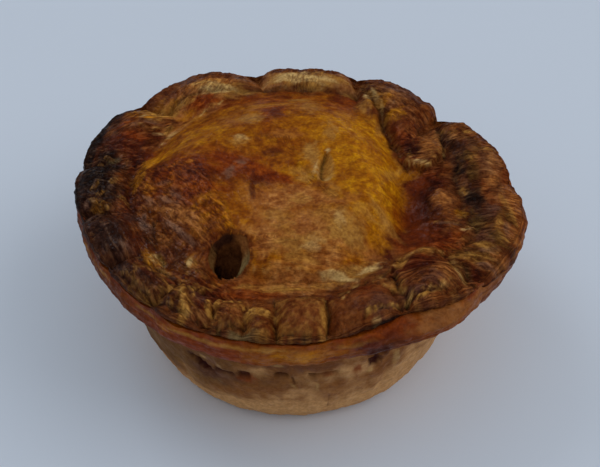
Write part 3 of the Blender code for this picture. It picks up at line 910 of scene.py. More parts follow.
        (Tone.GARNET, (
            (26.8, 12.4, 1.8, 3, 10, 0.9), (27.6, -6.5, 2, 7, 0, 0.8), (30.2, 1.4, 2.6, 3, 0, 0.9),
            (-36.5, 10, 2, 3, 0, 0.7), (-36.4, 15, 3, 1.2, 10, 0.6), (25.4, -26.4, 3, 1.2, 24, 0.6),
            (-38, -14, 2, 4, 20, 0.5), (-24, -27, 3, 1.2, -40, 0.6),
        )),
        # Painted sheen on the wrinkled left of the filling, and glints on the left rim
        (Tone.PAINTED_SHEEN, (
            (-31.8, -14.4, 3.0, 0.9, -50, 0.7), (-32.3, -6.6, 3, 0.9, -50, 0.5),
            (-25.8, -17.4, 5, 0.8, -50, 0.6), (-28, -9, 4, 0.7, -46, 0.5), (-14.6, -3, 1.4, 2.6, -20, 0.7),
            (-12.4, 1.0, 1.6, 1.4, 0, 0.7), (-41.4, 3, 1.4, 0.7, 40, 0.5), (-44.6, -10.6, 2, 0.9, 50, 0.5),
            (-34.4, 21.6, 2.4, 1, 10, 0.6), (33, -13.2, 3, 0.6, -16, 0.5),
            (-36.4, -20.6, 2.4, 0.9, -30, 0.4), (26.6, -12.6, 2, 1, 0, 0.3), (-48, 7.6, 0.5, 1.2, 0, 0.8),
            (-46.6, -6.2, 0.6, 1, 20, 0.8), (-41.8, -2.6, 0.5, 1.2, -30, 0.8),
            (-44, -8.6, 0.7, 0.6, 0, 0.7),
        )),
        # Plum: purple tint of the dark glaze, partly painted sheen
        (Tone.PLUM, (
            (-36.2, -11, 3, 1.6, -60, 0.7), (26, 35, 5, 2.4, -48, 0.6), (24.4, -34.6, 4, 1.6, 20, 0.8),
            (17, -37.6, 4.6, 2.4, 26, 0.7), (40, -18, 3, 3, 0, 0.5), (27.6, -31.8, 2.4, 1.6, 0, 0.6),
            (-20, -36, 3, 1.6, -30, 0.6), (-46, -14, 3, 1.6, 0, 0.5),
        )),
        (Tone.SCORCH_AND_SHADE, (
            (-45, 3, 8, 4.4, 84, 0.8), (-42, -3, 4, 3.4, 0, 0.6), (39.4, -4.6, 2.4, 3.4, 0, 0.9),
            (41, -10, 2, 4, 20, 0.4), (36.0, 14, 1.2, 3.4, 0, 0.5), (37, 6, 1.5, 3, 0, 0.8),
            (-24.6, -24, 1.4, 3, 20, 0.5), (-41, 6, 3, 2.4, 30, 0.7), (-48, 14, 12, 2.2, 78, 0.9),
            (-44, 27, 6, 1.8, 50, 0.7), (-34, 40, 6, 1.4, 34, 0.7), (33, 38, 7, 1.4, -50, 0.6),
        )),
        (Tone.RUSSET, (
            (25.2, -9.4, 1.8, 8, -4, 0.8), (24.6, -17, 3, 2.4, 20, 0.6), (-33, -20, 3, 5, 24, 0.6),
            (-27, -22.6, 3, 2, -40, 0.5),
        )),
        (Tone.RUST, (
            (25.4, -6.5, 2.6, 9, -4, 0.45), (28, 3.4, 3.4, 4, 0, 0.4), (27, -15, 4, 3.6, 0, 0.4),
            (14, 8, 4, 5, 20, 0.25), (-14, 3.2, 6, 2.4, -8, 0.45), (-31, 0.6, 2, 4, 0, 0.35),
            (-20.6, 20, 4, 3, 40, 0.3), (14.6, -34.6, 5, 2, 24, 0.35),
        )),
        (Tone.FAWN, (
            (31, -27.9, 2.6, 2.4, 0, 0.35), (29.3, 9, 1.8, 1.6, 0, 0.4), (18.8, -32, 3, 1, 0, 0.3),
        )),
        (Tone.GOLD, (
            (-32, 29.4, 4, 1.6, 44, 0.6), (-25, 24.6, 4, 1.2, 44, 0.5), (17, -20, 3, 2, 20, 0.5),
            (12, 22, 3, 3, 0, 0.4),
        )),
        (Tone.FAWN, (
            (-31.5, 27, 5, 3.6, 50, 0.7), (0, -19, 5, 3, 0, 0.5), (-26, 35, 5, 2, 40, 0.5),
            (11, -12, 3, 2, 20, 0.4),
        )),
        (Tone.STRAW, (
            (-31.5, 27.4, 4, 1.8, 50, 0.8), (-27.4, 31.6, 3, 1.4, 40, 0.7), (-34.4, 23, 2.2, 1.3, 40, 0.6),
            (-30.6, 20.4, 2, 0.9, 50, 0.6), (4, -22.6, 3, 1.4, 10, 0.6), (-3, -20, 2.4, 1.4, 0, 0.5),
            (12.6, -22.4, 2.2, 1.6, 20, 0.5), (-10, -31.4, 3, 0.9, 4, 0.6), (40, -21, 3.4, 1, -30, 0.7),
            (43, -16, 1, 3, 8, 0.5), (45.6, -7, 0.8, 4, 4, 0.4), (38.6, -23.4, 3, 0.7, -30, 0.6),
        )),
        (Tone.OLIVE, (
            (42.6, -19.4, 3, 2, -40, 0.6), (38.4, -12.4, 1.6, 4, 0, 0.5), (46.4, -13, 1, 4, 8, 0.5),
            (40, 5, 1.6, 4, 0, 0.5),
        )),
        # More plum on the right band: partly painted sheen
        (Tone.PLUM, (
            (16.4, -34.6, 5, 1.8, 26, 0.15), (42, -10, 2, 3, 0, 0.5), (43, 6, 1.6, 4, 0, 0.4),
            (40, 14, 2, 3, 20, 0.4),
        )),
        (Tone.RUSSET, (
            (-41, 14.6, 5, 3.4, 10, 0.8), (-31.6, 1.6, 4.4, 2.2, 76, 0.7), (-36.4, 11, 3, 1.6, 0, 0.6),
            (4, -35.4, 6, 1.2, 6, 0.7),
        )),
        (Tone.RUST, (
            (-38.4, 16.6, 3, 1.6, 10, 0.7), (-41, 20.4, 2.6, 1.2, 40, 0.6), (-12, -35, 5, 1.2, 0, 0.5),
            (-3, 7, 3, 2, 20, 0.3),
        )),
        (Tone.STRAW, (
            (-3, 42, 5, 2.8, 0, 0.85), (5, 42, 5, 2.8, 0, 0.8), (-18, 37, 6.5, 2.6, 8, 0.8),
            (-34.2, 28.6, 3.6, 2.6, 36, 0.95), (3.4, 5.1, 1.6, 3, 0, 0.6), (7.4, -9.4, 2, 2.8, 0, 0.5),
            (9.7, -17.3, 2, 3.2, 0, 0.6), (18.6, -15.5, 1.8, 2, 0, 0.5), (0.7, -2, 3, 1.6, 0, 0.5),
            (16.4, 31, 1.8, 3, -20, 0.6), (-10.9, 16.7, 2.8, 1.8, 0, 0.7), (13.2, 37, 2.2, 1.2, 0, 0.6),
            (-3, -32, 6, 1.3, 0, 0.7), (5, -31, 4, 1.1, 0, 0.5), (-23, -36, 4, 1.2, -40, 0.4),
            (-27, -29, 3, 1, -40, 0.4),
        )),
        (Tone.CREAM, (
            (-1.4, 42.2, 5.4, 2.6, 0, 0.85), (-20.4, 36.8, 4.6, 1.9, 12, 0.8), (6, 41, 4, 1.5, 0, 0.7),
            (-36.4, 24.8, 1.6, 0.6, 30, 0.6), (-28.2, -24.6, 0.8, 1.6, 24, 0.8),
            (3, -24, 2.4, 1.2, 10, 0.4), (9, -18, 1.4, 1.8, 0, 0.4), (-22.1, -25.9, 0.8, 0.9, 0, 0.7),
        )),
        (Tone.TAN, (
            (37.6, 16.4, 2.4, 1.8, 0, 0.6), (33.6, 19, 1.6, 2.4, 0, 0.5), (-19, -40.6, 3, 1, -20, 0.5),
            (45, 8, 2, 3, 0, 0.4),
        )),
        (Tone.FAWN, (
            (-27.4, -13, 5, 0.9, -50, 0.6), (-24, -14, 5, 0.8, -46, 0.6), (-21.6, -18.4, 4, 0.8, -50, 0.6),
            (-28.4, -18, 4, 0.8, -52, 0.5),
        )),
        # More painted sheen on the wrinkled left of the filling
        (Tone.PAINTED_SHEEN, (
            (-25.4, -9.6, 4, 0.7, -50, 0.5), (-22.4, -21, 3, 0.8, -50, 0.6),
            (-33.6, -12.4, 0.8, 2.4, -10, 0.8), (-29, -3.4, 3, 0.7, -30, 0.4),
        )),
        (Tone.SCORCH_AND_SHADE, (
            (-49.4, -4, 1.6, 9, 4, 0.8), (38.6, 9, 1.4, 2, 0, 0.6), (-37, -27, 5, 0.8, -50, 0.2),
        )),
    )

    def flow(self, x: Array, y: Array) -> tuple[Array, Array]:
        """The skin's grain at each point.

        Args:
            x: plan coordinates, in millimetres.
            y: plan coordinates, in millimetres.

        Returns:
            Where each point lies in its own patch of grain, measured in streaks along, streaks across and
            patches, and how strong the streaks are there.
        """
        best, second = np.full(x.shape, 0.12), np.zeros(x.shape)
        radius, angle = np.hypot(x, y), np.arctan2(y, x)
        where = np.stack([radius / 4.0, angle * 45.0 / 0.9, np.zeros_like(x)], axis=1)
        streak = np.full(x.shape, 0.5)
        for number, grain in enumerate(self.grains):
            cover = grain.cover(x, y)
            along, across = grain.flow(x, y)
            here = cover > best
            second = np.where(here, best, np.maximum(second, cover))
            layer = np.full(x.shape, 5.0 * number + 5.0)
            own = np.stack([along / (grain.spacing * grain.stretch), across / grain.spacing, layer], axis=1)
            where = np.where(here[:, None], own, where)
            streak = np.where(here, grain.streak, streak)
            best = np.where(here, cover, best)
        return where, streak * smooth((best - second) / (0.12 * best))

    def relief(self, x: Array, y: Array) -> tuple[Array, Array]:
        """Height of the lid with all its detail, and the fine part of it alone.

        Args:
            x: plan coordinates, in millimetres.
            y: plan coordinates, in millimetres.

        Returns:
            The height, and how far each point stands above its surroundings, in millimetres.
        """
        rim = 1.0 - smooth((self.form.dome_share(x, y) + 0.1) / 0.5)
        shift_x = x + 0.8 * UNEVEN.at(x, y, 7.0, 11)
        shift_y = y + 0.8 * UNEVEN.at(x, y, 7.0, 12)
        height = self.form.lid_level(shift_x, shift_y)
        height += (0.2 + 0.15 * rim) * UNEVEN.at(x, y, 9.0, 21, 2)
        fine = (0.05 + 0.1 * rim) * UNEVEN.at(x, y, 2.6, 22, 3)
        for number, grain in enumerate(self.grains):
            along, across = grain.flow(shift_x, shift_y)
            ridges = UNEVEN.at(along / grain.stretch, across, 2.6 * grain.spacing, 31 + number, 2)
            fine += 1.6 * grain.ridge * grain.cover(x, y) * (0.5 - 1.4 * np.abs(ridges))
        fine += self.flakes(x, y) * rim
        line_x, line_y = self.unsteady(x, y)
        for row in self.plates:
            fine += row[5] * plate(line_x, line_y, row, 0.4)
        away = np.hypot(x - self.ring[0], y - self.ring[1])
        fine += 0.5 * bell((away - self.ring[2]) / 0.35)
        for fold in self.folds:
            fine += fold.height(line_x, line_y)
        return height + fine, fine

    def unsteady(self, x: Array, y: Array) -> tuple[Array, Array]:
        """Plan coordinates a little off, so that folds and flakes run as if drawn by hand."""
        return x + self.stray * UNEVEN.at(x, y, 3.5, 13), y + self.stray * UNEVEN.at(x, y, 3.5, 14)

    def flakes(self, x: Array, y: Array) -> Array:
        """Thin overlapping flakes: gentle ramps that end in a sudden small step.

        Args:
            x: plan coordinates, in millimetres.
            y: plan coordinates, in millimetres.

        Returns:
            What the flakes add to the height at each point, in millimetres.
        """
        layers = 2.2 * UNEVEN.at(x, y, 8.0, 41, 2) + 0.2 * UNEVEN.at(x, y, 1.8, 42, 2)
        share = layers - np.floor(layers)
        return self.flake_height * (smooth((share - 0.8) / 0.2) - share)

    def colour(self, x: Array, y: Array, fine: Array) -> Array:
        """Linear colour of the lid's crust at each point.

        Args:
            x: plan coordinates, in millimetres.
            y: plan coordinates, in millimetres.
            fine: how far each point stands above its surroundings, in millimetres.

        Returns:
            An array of red, green and blue rows.
        """
        mottle = UNEVEN.at(x, y, 3.2, 52, 4)
        ragged = UNEVEN.at(x, y, 5.0, 51, 4)
        rim = 1.0 - smooth((self.form.dome_share(x, y) + 0.1 + 0.2 * ragged) / 0.3)
        paint = Paint(len(x), Tone.AMBER)
        paint.cover(Tone.NUT, 0.95 * rim)
        paint.cover(Tone.BROWN, 0.8 * rim * smooth(0.5 + 1.2 * ragged))
        paint.brush(x, y, self.bake, 61)
        flecks = UNEVEN.at(x, y, 1.5, 54, 3)
        uneven = self.mottle_strength * np.tanh(6.0 * mottle) + self.fleck_strength * np.tanh(6.0 * flecks)
        paint.vary(uneven)
        paint.brush(x, y, self.marks, 71)
        # Crests are painted straw, but not at the left, where the crust is scorched and its crests get
        # painted sheen; hollows are painted darker
        straw = 0.3 * rim * smooth((x + 32.0) / 12.0) * smooth((fine - 0.12) / 0.3)
        paint.cover(Tone.STRAW, straw * smooth(0.1 + 1.4 * flecks))
        paint.cover(Tone.SCORCH_AND_SHADE, 0.4 * rim * smooth((-fine - 0.2) / 0.5))
        wander = UNEVEN.at(x, y, 1.4, 53, 2)
        shine = 0.4 * rim * smooth((-x - 30.0) / 8.0) * smooth((fine - 0.1) / 0.25)
        paint.cover(Tone.PAINTED_SHEEN, shine * smooth(0.2 + 1.6 * flecks))
        line_x, line_y = self.unsteady(x, y)
        for row in self.plates:
            cover = plate(line_x, line_y, row, 0.7)
            paint.cover(Tone.STRAW, (row[6] * cover + 1.6 * cover * (1.0 - cover)) * smooth(0.55 + wander))
        for fold in self.folds:
            # Each fold's groove is painted dark, as shade in the crease, and its lip is painted pale
            groove, lip = fold.shade(line_x, line_y, wander)
            paint.cover(Tone.SCORCH_AND_SHADE, groove * smooth(0.6 + wander))
            paint.cover(Tone.STRAW, 0.8 * lip * smooth(0.4 + 1.3 * wander))
            paint.cover(Tone.CREAM, 0.5 * lip**2 * smooth(0.1 + 1.3 * wander))
        away = np.hypot(x - self.ring[0], y - self.ring[1])
        paint.cover(Tone.STRAW, 0.8 * bell((away - self.ring[2]) / 0.4))
        return paint.rgb

    def glaze(self, x: Array, y: Array) -> Array:
        """How thick the egg glaze lies.

        Args:
            x: plan coordinates, in millimetres.
            y: plan coordinates, in millimetres.

        Returns:
            The thickness at each point, 0 on dry flakes to 1 in the pools.
        """
        pools = np.zeros_like(x)
        for row in self.pools:
            pools = np.maximum(pools, row[5] * swell(x, y, row))
        return np.clip(self.glaze_level + pools + self.glaze_spread * UNEVEN.at(x, y, 4.0, 61, 3), 0.0, 1.0)


def add_node(
    tree: bpy.types.NodeTree, kind: str, links: dict[Any, Any] | None = None, **settings: Any
) -> bpy.types.Node:
    """Adds a node to a material.

    Args:
        tree: the material's node tree.
        kind: the node's type.
        links: for each input, by name or number, the socket that feeds it or its value.
        **settings: the node's own settings.

    Returns:
        The new node.
    """
    node = tree.nodes.new(kind)
    for name, value in settings.items():
        setattr(node, name, value)
    for name, value in (links or {}).items():
        if isinstance(value, bpy.types.NodeSocket):
            tree.links.new(value, node.inputs[name])
        else:
            node.inputs[name].default_value = value
    return node


@dataclass(frozen=True)
class BakedPastry:
    """Hot-water crust pastry, brushed with egg and baked: mottled brown with a broken, half-gloss skin."""

    name: str
    roughness_dry: float = 0.7
    roughness_glazed: float = 0.45
    coat_roughness: float = 0.18
    specular: float = 0.06
    # How far pores and blisters lighten and darken it
    mottling: float = 0.24
    # Widths of a pore and a blister, and the height of the bump, in millimetres
    pore: float = 0.6
    blister: float = 1.4
    bump: float = 0.3
    # What furrows, crests and cracks multiply the browning by, and what raised flakes add to a crest
    furrow: Row = (0.52, 0.36, 0.25)
    crest: Row = (1.44, 1.43, 1.25)
    crack: Row = (0.25, 0.2, 0.2)
    flake: Row = (0.045, 0.025, 0.009)

    def material(self) -> bpy.types.Material:
        """Makes the material: the mesh gives browning with its painted shade and sheen, grain and glaze,
        and noise the streaks and pores.

        Returns:
            The material.
        """
        material = bpy.data.materials.new(self.name)
        material.use_nodes = True
        tree = material.node_tree
        shader = tree.nodes["Principled BSDF"]
        place = add_node(tree, "ShaderNodeTexCoord").outputs["Object"]
        browning = add_node(tree, "ShaderNodeAttribute", attribute_name="browning").outputs["Vector"]
        glaze = add_node(tree, "ShaderNodeAttribute", attribute_name="glaze").outputs["Fac"]
        flow = add_node(tree, "ShaderNodeAttribute", attribute_name="flow").outputs["Vector"]
        streak = add_node(tree, "ShaderNodeAttribute", attribute_name="streak").outputs["Fac"]
        # Streaks of stretched dough, under a millimetre apart, dark in their furrows, pale on their crests
        threads = add_node(
            tree,
            "ShaderNodeTexNoise",
            {"Vector": flow, "Scale": 1.0, "Detail": 2.0, "Roughness": 0.45, "Distortion": 0.6},
        ).outputs["Fac"]
        crest = add_node(
            tree,
            "ShaderNodeMapRange",
            {"Value": threads, "From Min": 0.4, "From Max": 0.6, "To Min": -0.34, "To Max": 0.38},
        ).outputs["Result"]
        weave = add_node(
            tree, "ShaderNodeMath", {0: crest, 1: streak}, operation="MULTIPLY"
        ).outputs["Value"]
        # Pores and tiny bubbles of the skin, half a millimetre across
        pores = add_node(
            tree, "ShaderNodeTexNoise", {"Vector": place, "Scale": 1.0 / (self.pore * MM), "Detail": 3.0}
        ).outputs["Fac"]
        # Blisters a little over a millimetre across, where the glaze has browned unevenly
        blisters = add_node(
            tree, "ShaderNodeTexNoise", {"Vector": place, "Scale": 1.0 / (self.blister * MM), "Detail": 3.0}
        ).outputs["Fac"]
        both = add_node(tree, "ShaderNodeMath", {0: pores, 1: blisters}, operation="ADD").outputs["Value"]
        spread = self.mottling
        skin = add_node(
            tree,
            "ShaderNodeMapRange",
            {"Value": both, "From Min": 0.8, "From Max": 1.2, "To Min": -spread, "To Max": spread},
        ).outputs["Result"]
        mixed = add_node(tree, "ShaderNodeMath", {0: weave, 1: skin}, operation="ADD").outputs["Value"]
        share = add_node(
            tree, "ShaderNodeMath", {0: mixed, 1: 0.48}, operation="ADD", use_clamp=True
        ).outputs["Value"]
        deep = add_node(
            tree, "ShaderNodeVectorMath", {0: browning, 1: self.furrow}, operation="MULTIPLY"
        ).outputs["Vector"]
        light = add_node(
            tree, "ShaderNodeVectorMath", {0: browning, 1: self.crest}, operation="MULTIPLY"
        ).outputs["Vector"]
        tint = add_node(
            tree, "ShaderNodeMix", {"Factor": share, 6: deep, 7: light}, data_type="RGBA"
        ).outputs[2]
        # Thin flakes stand up from the strongest crests and stay paler
        flake = add_node(
            tree, "ShaderNodeVectorMath", {0: light, 1: self.flake}, operation="ADD"
        ).outputs["Vector"]
        risen = add_node(
            tree,
            "ShaderNodeMapRange",
            {"Value": threads, "From Min": 0.56, "From Max": 0.66, "To Min": 0.0, "To Max": 0.8},
        ).outputs["Result"]
        proud = add_node(
            tree, "ShaderNodeMath", {0: risen, 1: streak}, operation="MULTIPLY"
        ).outputs["Value"]
        flaked = add_node(
            tree, "ShaderNodeMix", {"Factor": proud, 6: tint, 7: flake}, data_type="RGBA"
        ).outputs[2]
        # Hairline cracks, nearly black, that follow the streaks
        lines = add_node(
            tree,
            "ShaderNodeTexNoise",
            {"Vector": flow, "Scale": 0.8, "Detail": 2.0, "Roughness": 0.6, "Distortion": 0.4},
        ).outputs["Fac"]
        centred = add_node(
            tree, "ShaderNodeMath", {0: lines, 1: 0.5}, operation="SUBTRACT"
        ).outputs["Value"]
        off = add_node(tree, "ShaderNodeMath", {0: centred}, operation="ABSOLUTE").outputs["Value"]
        crack = add_node(
            tree,
            "ShaderNodeMapRange",
            {"Value": off, "From Min": 0.004, "From Max": 0.03, "To Min": 0.6, "To Max": 0.0},
        ).outputs["Result"]
        split = add_node(
            tree, "ShaderNodeMath", {0: crack, 1: streak}, operation="MULTIPLY"
        ).outputs["Value"]
        black = add_node(
            tree, "ShaderNodeVectorMath", {0: browning, 1: self.crack}, operation="MULTIPLY"
        ).outputs["Vector"]
        cracked = add_node(
            tree, "ShaderNodeMix", {"Factor": split, 6: flaked, 7: black}, data_type="RGBA"
        ).outputs[2]
        tree.links.new(cracked, shader.inputs["Base Color"])
        rough = add_node(
            tree,
            "ShaderNodeMapRange",
            {"Value": glaze, "To Min": self.roughness_dry, "To Max": self.roughness_glazed},
        ).outputs["Result"]
        tree.links.new(rough, shader.inputs["Roughness"])
        # Egg glaze is a thin clear coat, broken by the blisters
        broken = add_node(
            tree,
            "ShaderNodeMapRange",
            {"Value": blisters, "From Min": 0.42, "From Max": 0.58, "To Min": 0.3, "To Max": 1.0},
        ).outputs["Result"]
        coat = add_node(
            tree, "ShaderNodeMath", {0: glaze, 1: broken}, operation="MULTIPLY"
        ).outputs["Value"]
        tree.links.new(coat, shader.inputs["Coat Weight"])
        shader.inputs["Coat Roughness"].default_value = self.coat_roughness
        shader.inputs["Specular IOR Level"].default_value = self.specular
        rise = add_node(tree, "ShaderNodeMath", {0: weave, 1: both}, operation="ADD").outputs["Value"]
        height = add_node(
            tree, "ShaderNodeMath", {0: rise, 1: split}, operation="SUBTRACT"
        ).outputs["Value"]
        bump = add_node(
            tree, "ShaderNodeBump", {"Height": height, "Strength": 0.7, "Distance": self.bump * MM}
        ).outputs["Normal"]
        tree.links.new(bump, shader.inputs["Normal"])
        tree.links.new(bump, shader.inputs["Coat Normal"])
        return material


@dataclass(frozen=True)
class TableTop:
    """A pale laminate table top: smooth, even and slightly blue under daylight."""

    colour: str = "#E3EAF5"

    def material(self) -> bpy.types.Material:
        """Makes the plain satin material, with the faintest unevenness."""
        material = bpy.data.materials.new("pale_laminate")
        material.use_nodes = True
        tree = material.node_tree
        shader = tree.nodes["Principled BSDF"]
        place = add_node(tree, "ShaderNodeTexCoord").outputs["Object"]
        cloud = add_node(tree, "ShaderNodeTexNoise", {"Vector": place, "Scale": 6.0, "Detail": 2.0})
        ramp = add_node(tree, "ShaderNodeValToRGB", {"Fac": cloud.outputs["Fac"]})
        base = hex_to_linear(self.colour)
        ramp.color_ramp.elements[0].color = (*(0.985 * v for v in base), 1.0)
        ramp.color_ramp.elements[1].color = (*(min(1.0, 1.015 * v) for v in base), 1.0)
        tree.links.new(ramp.outputs["Color"], shader.inputs["Base Color"])
        shader.inputs["Roughness"].default_value = 0.55
        return material


def set_attribute(mesh: bpy.types.Mesh, name: str, values: Array) -> None:
    """Stores a value or colour for each vertex of a mesh.

    Args:
        mesh: the mesh.
        name: the attribute's name.
        values: one number, or three, for each vertex.
    """
    kind, key = ("FLOAT", "value") if values.ndim == 1 else ("FLOAT_VECTOR", "vector")
    mesh.attributes.new(name, kind, "POINT").data.foreach_set(key, values.astype(np.float32).ravel())


def extrude_rings(
    bm: bmesh.types.BMesh, loop: list[Any], count: int, rise: float, close: bool = False
) -> None:
    """Extrudes a closed loop of edges ring by ring.

    Args:
        bm: the sheet.
        loop: the loop's edges.
        count: how many rings are made.
        rise: how far each ring stands over the one before, so that its height counts the rings.
        close: whether the last ring is filled with a face.
    """
    for _ in range(count):
        made = bmesh.ops.extrude_edge_only(bm, edges=loop)["geom"]
        fresh = [item for item in made if isinstance(item, bmesh.types.BMVert)]
        bmesh.ops.translate(bm, verts=fresh, vec=(0.0, 0.0, rise))
        among = set(fresh)
        loop = [
            item for item in made
            if isinstance(item, bmesh.types.BMEdge) and item.verts[0] in among and item.verts[1] in among
        ]
    if close:
        bmesh.ops.contextual_create(bm, geom=loop)
    bm.verts.index_update()


def sheet_to_mesh(bm: bmesh.types.BMesh, name: str, place: Array) -> bpy.types.Mesh:
    """Turns a worked sheet into a mesh with its vertices in place.

    Args:
        bm: the sheet. It is freed.
        name: the mesh's name.
        place: where each vertex goes, in millimetres.

    Returns:
        The mesh, in metres and smooth shaded.
    """
    for vert, spot in zip(bm.verts, (place * MM).tolist()):
        vert.co = spot
    bmesh.ops.recalc_face_normals(bm, faces=bm.faces)
    mesh = bpy.data.meshes.new(name)
    bm.to_mesh(mesh)
    bm.free()
    mesh.shade_smooth()
    return mesh


@dataclass
class Lid:
    """The lid: a square sheet laid on the round pie, turned down at its edge and cut for the steam hole."""

    form: PieForm
    surface: LidSurface
    # Cells along each side of the sheet, and rings that turn down its edge
    cells: int = 276
    lip_rings: int = 12
    # The steam hole's x, y, half length, half width and turn, its rings and its depth
    hole: Row = (-13.9, -25.5, 4.3, 4.4, 80.0)
    hole_rings: int = 14
    hole_depth: float = 7.0
    # Streaks of the turned edge's grain in a radian round it, and in a ring
    lip_grain: tuple[float, float] = (9.0, 0.6)
    # Radius at which lengths round the edge are measured, in millimetres
    edge_radius: float = 48.0
    # Where the edge hangs lowest over the flange: angle, spread in radians, and how far it hangs
    hang: Row = (-27.0, 0.42, 2.2)
    # Where the front rolls overhang the flange, with painted shade under them: angle, and spread in radians
    overhang: Row = (-66.0, 0.16)
    # x, y, half length, half width, turn, depth, and the side of its pale lip: 1 steep, -1 gentle
    slits: tuple[Row, ...] = (
        (6.5, -0.8, 5.4, 1.9, 87, 1.5, 1),
        (-28.6, -24.6, 3.4, 1.2, -66, 1, -1),
    )

    def build(self) -> bpy.types.Object:
        """Models the lid and gives it its browning.

        Returns:
            The lid's object.
        """
        bm = bmesh.new()
        bmesh.ops.create_grid(bm, x_segments=self.cells, y_segments=self.cells, size=1.0)
        start = np.array([vert.co[:] for vert in bm.verts])
        x, y, _ = self.to_plan(start[:, 0], start[:, 1])
        self.turn_down_edge(bm)
        self.cut_hole(bm, x, y)
        sheet = np.array([vert.co[:] for vert in bm.verts])
        place, colour, glaze = self.shape(sheet)
        mesh = sheet_to_mesh(bm, "lid", place)
        x, y, angle = self.to_plan(sheet[:, 0], sheet[:, 1])
        flow, streak = self.surface.flow(x, y)
        lip = sheet[:, 2] > 0.5
        along, over = self.lip_grain
        lip_flow = np.stack([angle * along, over * sheet[:, 2], np.full(angle.shape, -9.0)], axis=1)
        flow[lip] = lip_flow[lip]
        streak[lip], streak[sheet[:, 2] < -0.5] = 0.8, 0.0
        set_attribute(mesh, "browning", colour)
        set_attribute(mesh, "glaze", glaze)
        set_attribute(mesh, "flow", flow)
        set_attribute(mesh, "streak", streak)
        mesh.materials.append(BakedPastry("glazed_lid_pastry").material())
        return link_piece(mesh)

    def to_plan(self, a: Array, b: Array) -> tuple[Array, Array, Array]:
        """Carries points of the square from -1 to 1 onto the round lid.

        Args:
            a: first coordinate on the square.
            b: second coordinate on the square.

        Returns:
            Plan x and y in millimetres, and the angle round the pie.
        """
        ring = np.maximum(np.abs(a), np.abs(b))
        safe = np.where(ring > 0, ring, 1.0)
        side = np.abs(a) >= np.abs(b)
        angle = np.where(side, math.pi / 4 * b / safe, math.pi / 2 - math.pi / 4 * a / safe)
        angle = np.where(side & (a < 0), math.pi - math.pi / 4 * b / safe, angle)
        angle = np.where(~side & (b < 0), -math.pi / 2 + math.pi / 4 * a / safe, angle)
        radius = ring * self.form.lid_radius(angle)
        return radius * np.cos(angle), radius * np.sin(angle), angle

    def turn_down_edge(self, bm: bmesh.types.BMesh) -> None:
        """Extrudes the sheet's edge ring by ring. The height on the sheet counts the rings."""
        extrude_rings(bm, [edge for edge in bm.edges if edge.is_boundary], self.lip_rings, 1.0)

    def cut_hole(self, bm: bmesh.types.BMesh, x: Array, y: Array) -> None:
        """Cuts the steam hole out of the sheet and extrudes its edge down. Its rings count below zero.

        Args:
            bm: the sheet.
            x: plan x of each of the grid's vertices, in millimetres.
            y: plan y of each of the grid's vertices, in millimetres.
        """
        along, across = oval(x, y, self.hole)
        inside = np.hypot(along, across) < 0.985
        bm.verts.ensure_lookup_table()
        gone = [bm.verts[index] for index in np.nonzero(inside)[0]]
        bmesh.ops.delete(bm, geom=gone, context="VERTS")
        loop = [edge for edge in bm.edges if edge.is_boundary and edge.verts[0].co.z < 0.5]
        extrude_rings(bm, loop, self.hole_rings, -1.0, close=True)

    def shape(self, sheet: Array) -> tuple[Array, Array, Array]:
        """Places and colours every vertex of the sheet.

        Args:
            sheet: the sheet's vertices, with rings counted in the third coordinate.

        Returns:
            Places in millimetres, colours, and the thickness of the glaze.
        """
        x, y, angle = self.to_plan(sheet[:, 0], sheet[:, 1])
        height, fine = self.surface.relief(x, y)
        height = self.press_slits(x, y, height)
        colour = self.colour_cuts(x, y, self.surface.colour(x, y, fine))
        glaze = self.surface.glaze(x, y)
        place = np.stack([x, y, height], axis=1)
        rings = np.round(sheet[:, 2]).astype(int)
        lip, pit = rings > 0, rings < 0
        place[lip], colour[lip] = self.lip(angle[lip], rings[lip], height[lip], colour[lip])
        place[pit], colour[pit] = self.pit(place[pit], -rings[pit], colour[pit])
        glaze[lip] *= 0.6
        glaze[pit] = 0.0
        return place, colour, glaze

    def inside_slit(self, x: Array, y: Array, row: Row) -> tuple[Array, Array]:
        """Place of each point in a slit.

        Args:
            x: plan coordinates, in millimetres.
            y: plan coordinates, in millimetres.
            row: the slit's oval, and anything after it.

        Returns:
            How far along it each point is, and how far across: -1 at its gentle side, 1 at its steep one.
        """
        along, across = oval(x, y, row)
        waist = np.clip(1.0 - (along + 0.25) ** 2 * (1.0 - 0.35 * along), 0.02, 1.0) ** 0.7
        return along, across / waist

    def press_slits(self, x: Array, y: Array, height: Array) -> Array:
        """Opens the slits: steep on one side, gently sloping on the other, with a low raised edge.

        Args:
            x: plan coordinates, in millimetres.
            y: plan coordinates, in millimetres.
            height: the height at each point, in millimetres.

        Returns:
            The height with the slits in it.
        """
        for row in self.slits:
            along, across = self.inside_slit(x, y, row)
            ends = 1.0 - smooth((np.abs(along) - 0.8) / 0.2)
            pit = np.where(across > 0.55, smooth((1.0 - across) / 0.45), smooth((1.0 + across) / 1.55))
            edge = bell((across - 1.25) / 0.35) + 0.5 * bell((across + 1.2) / 0.4)
            height = height + ends * (0.3 * edge - row[5] * pit)
        return height

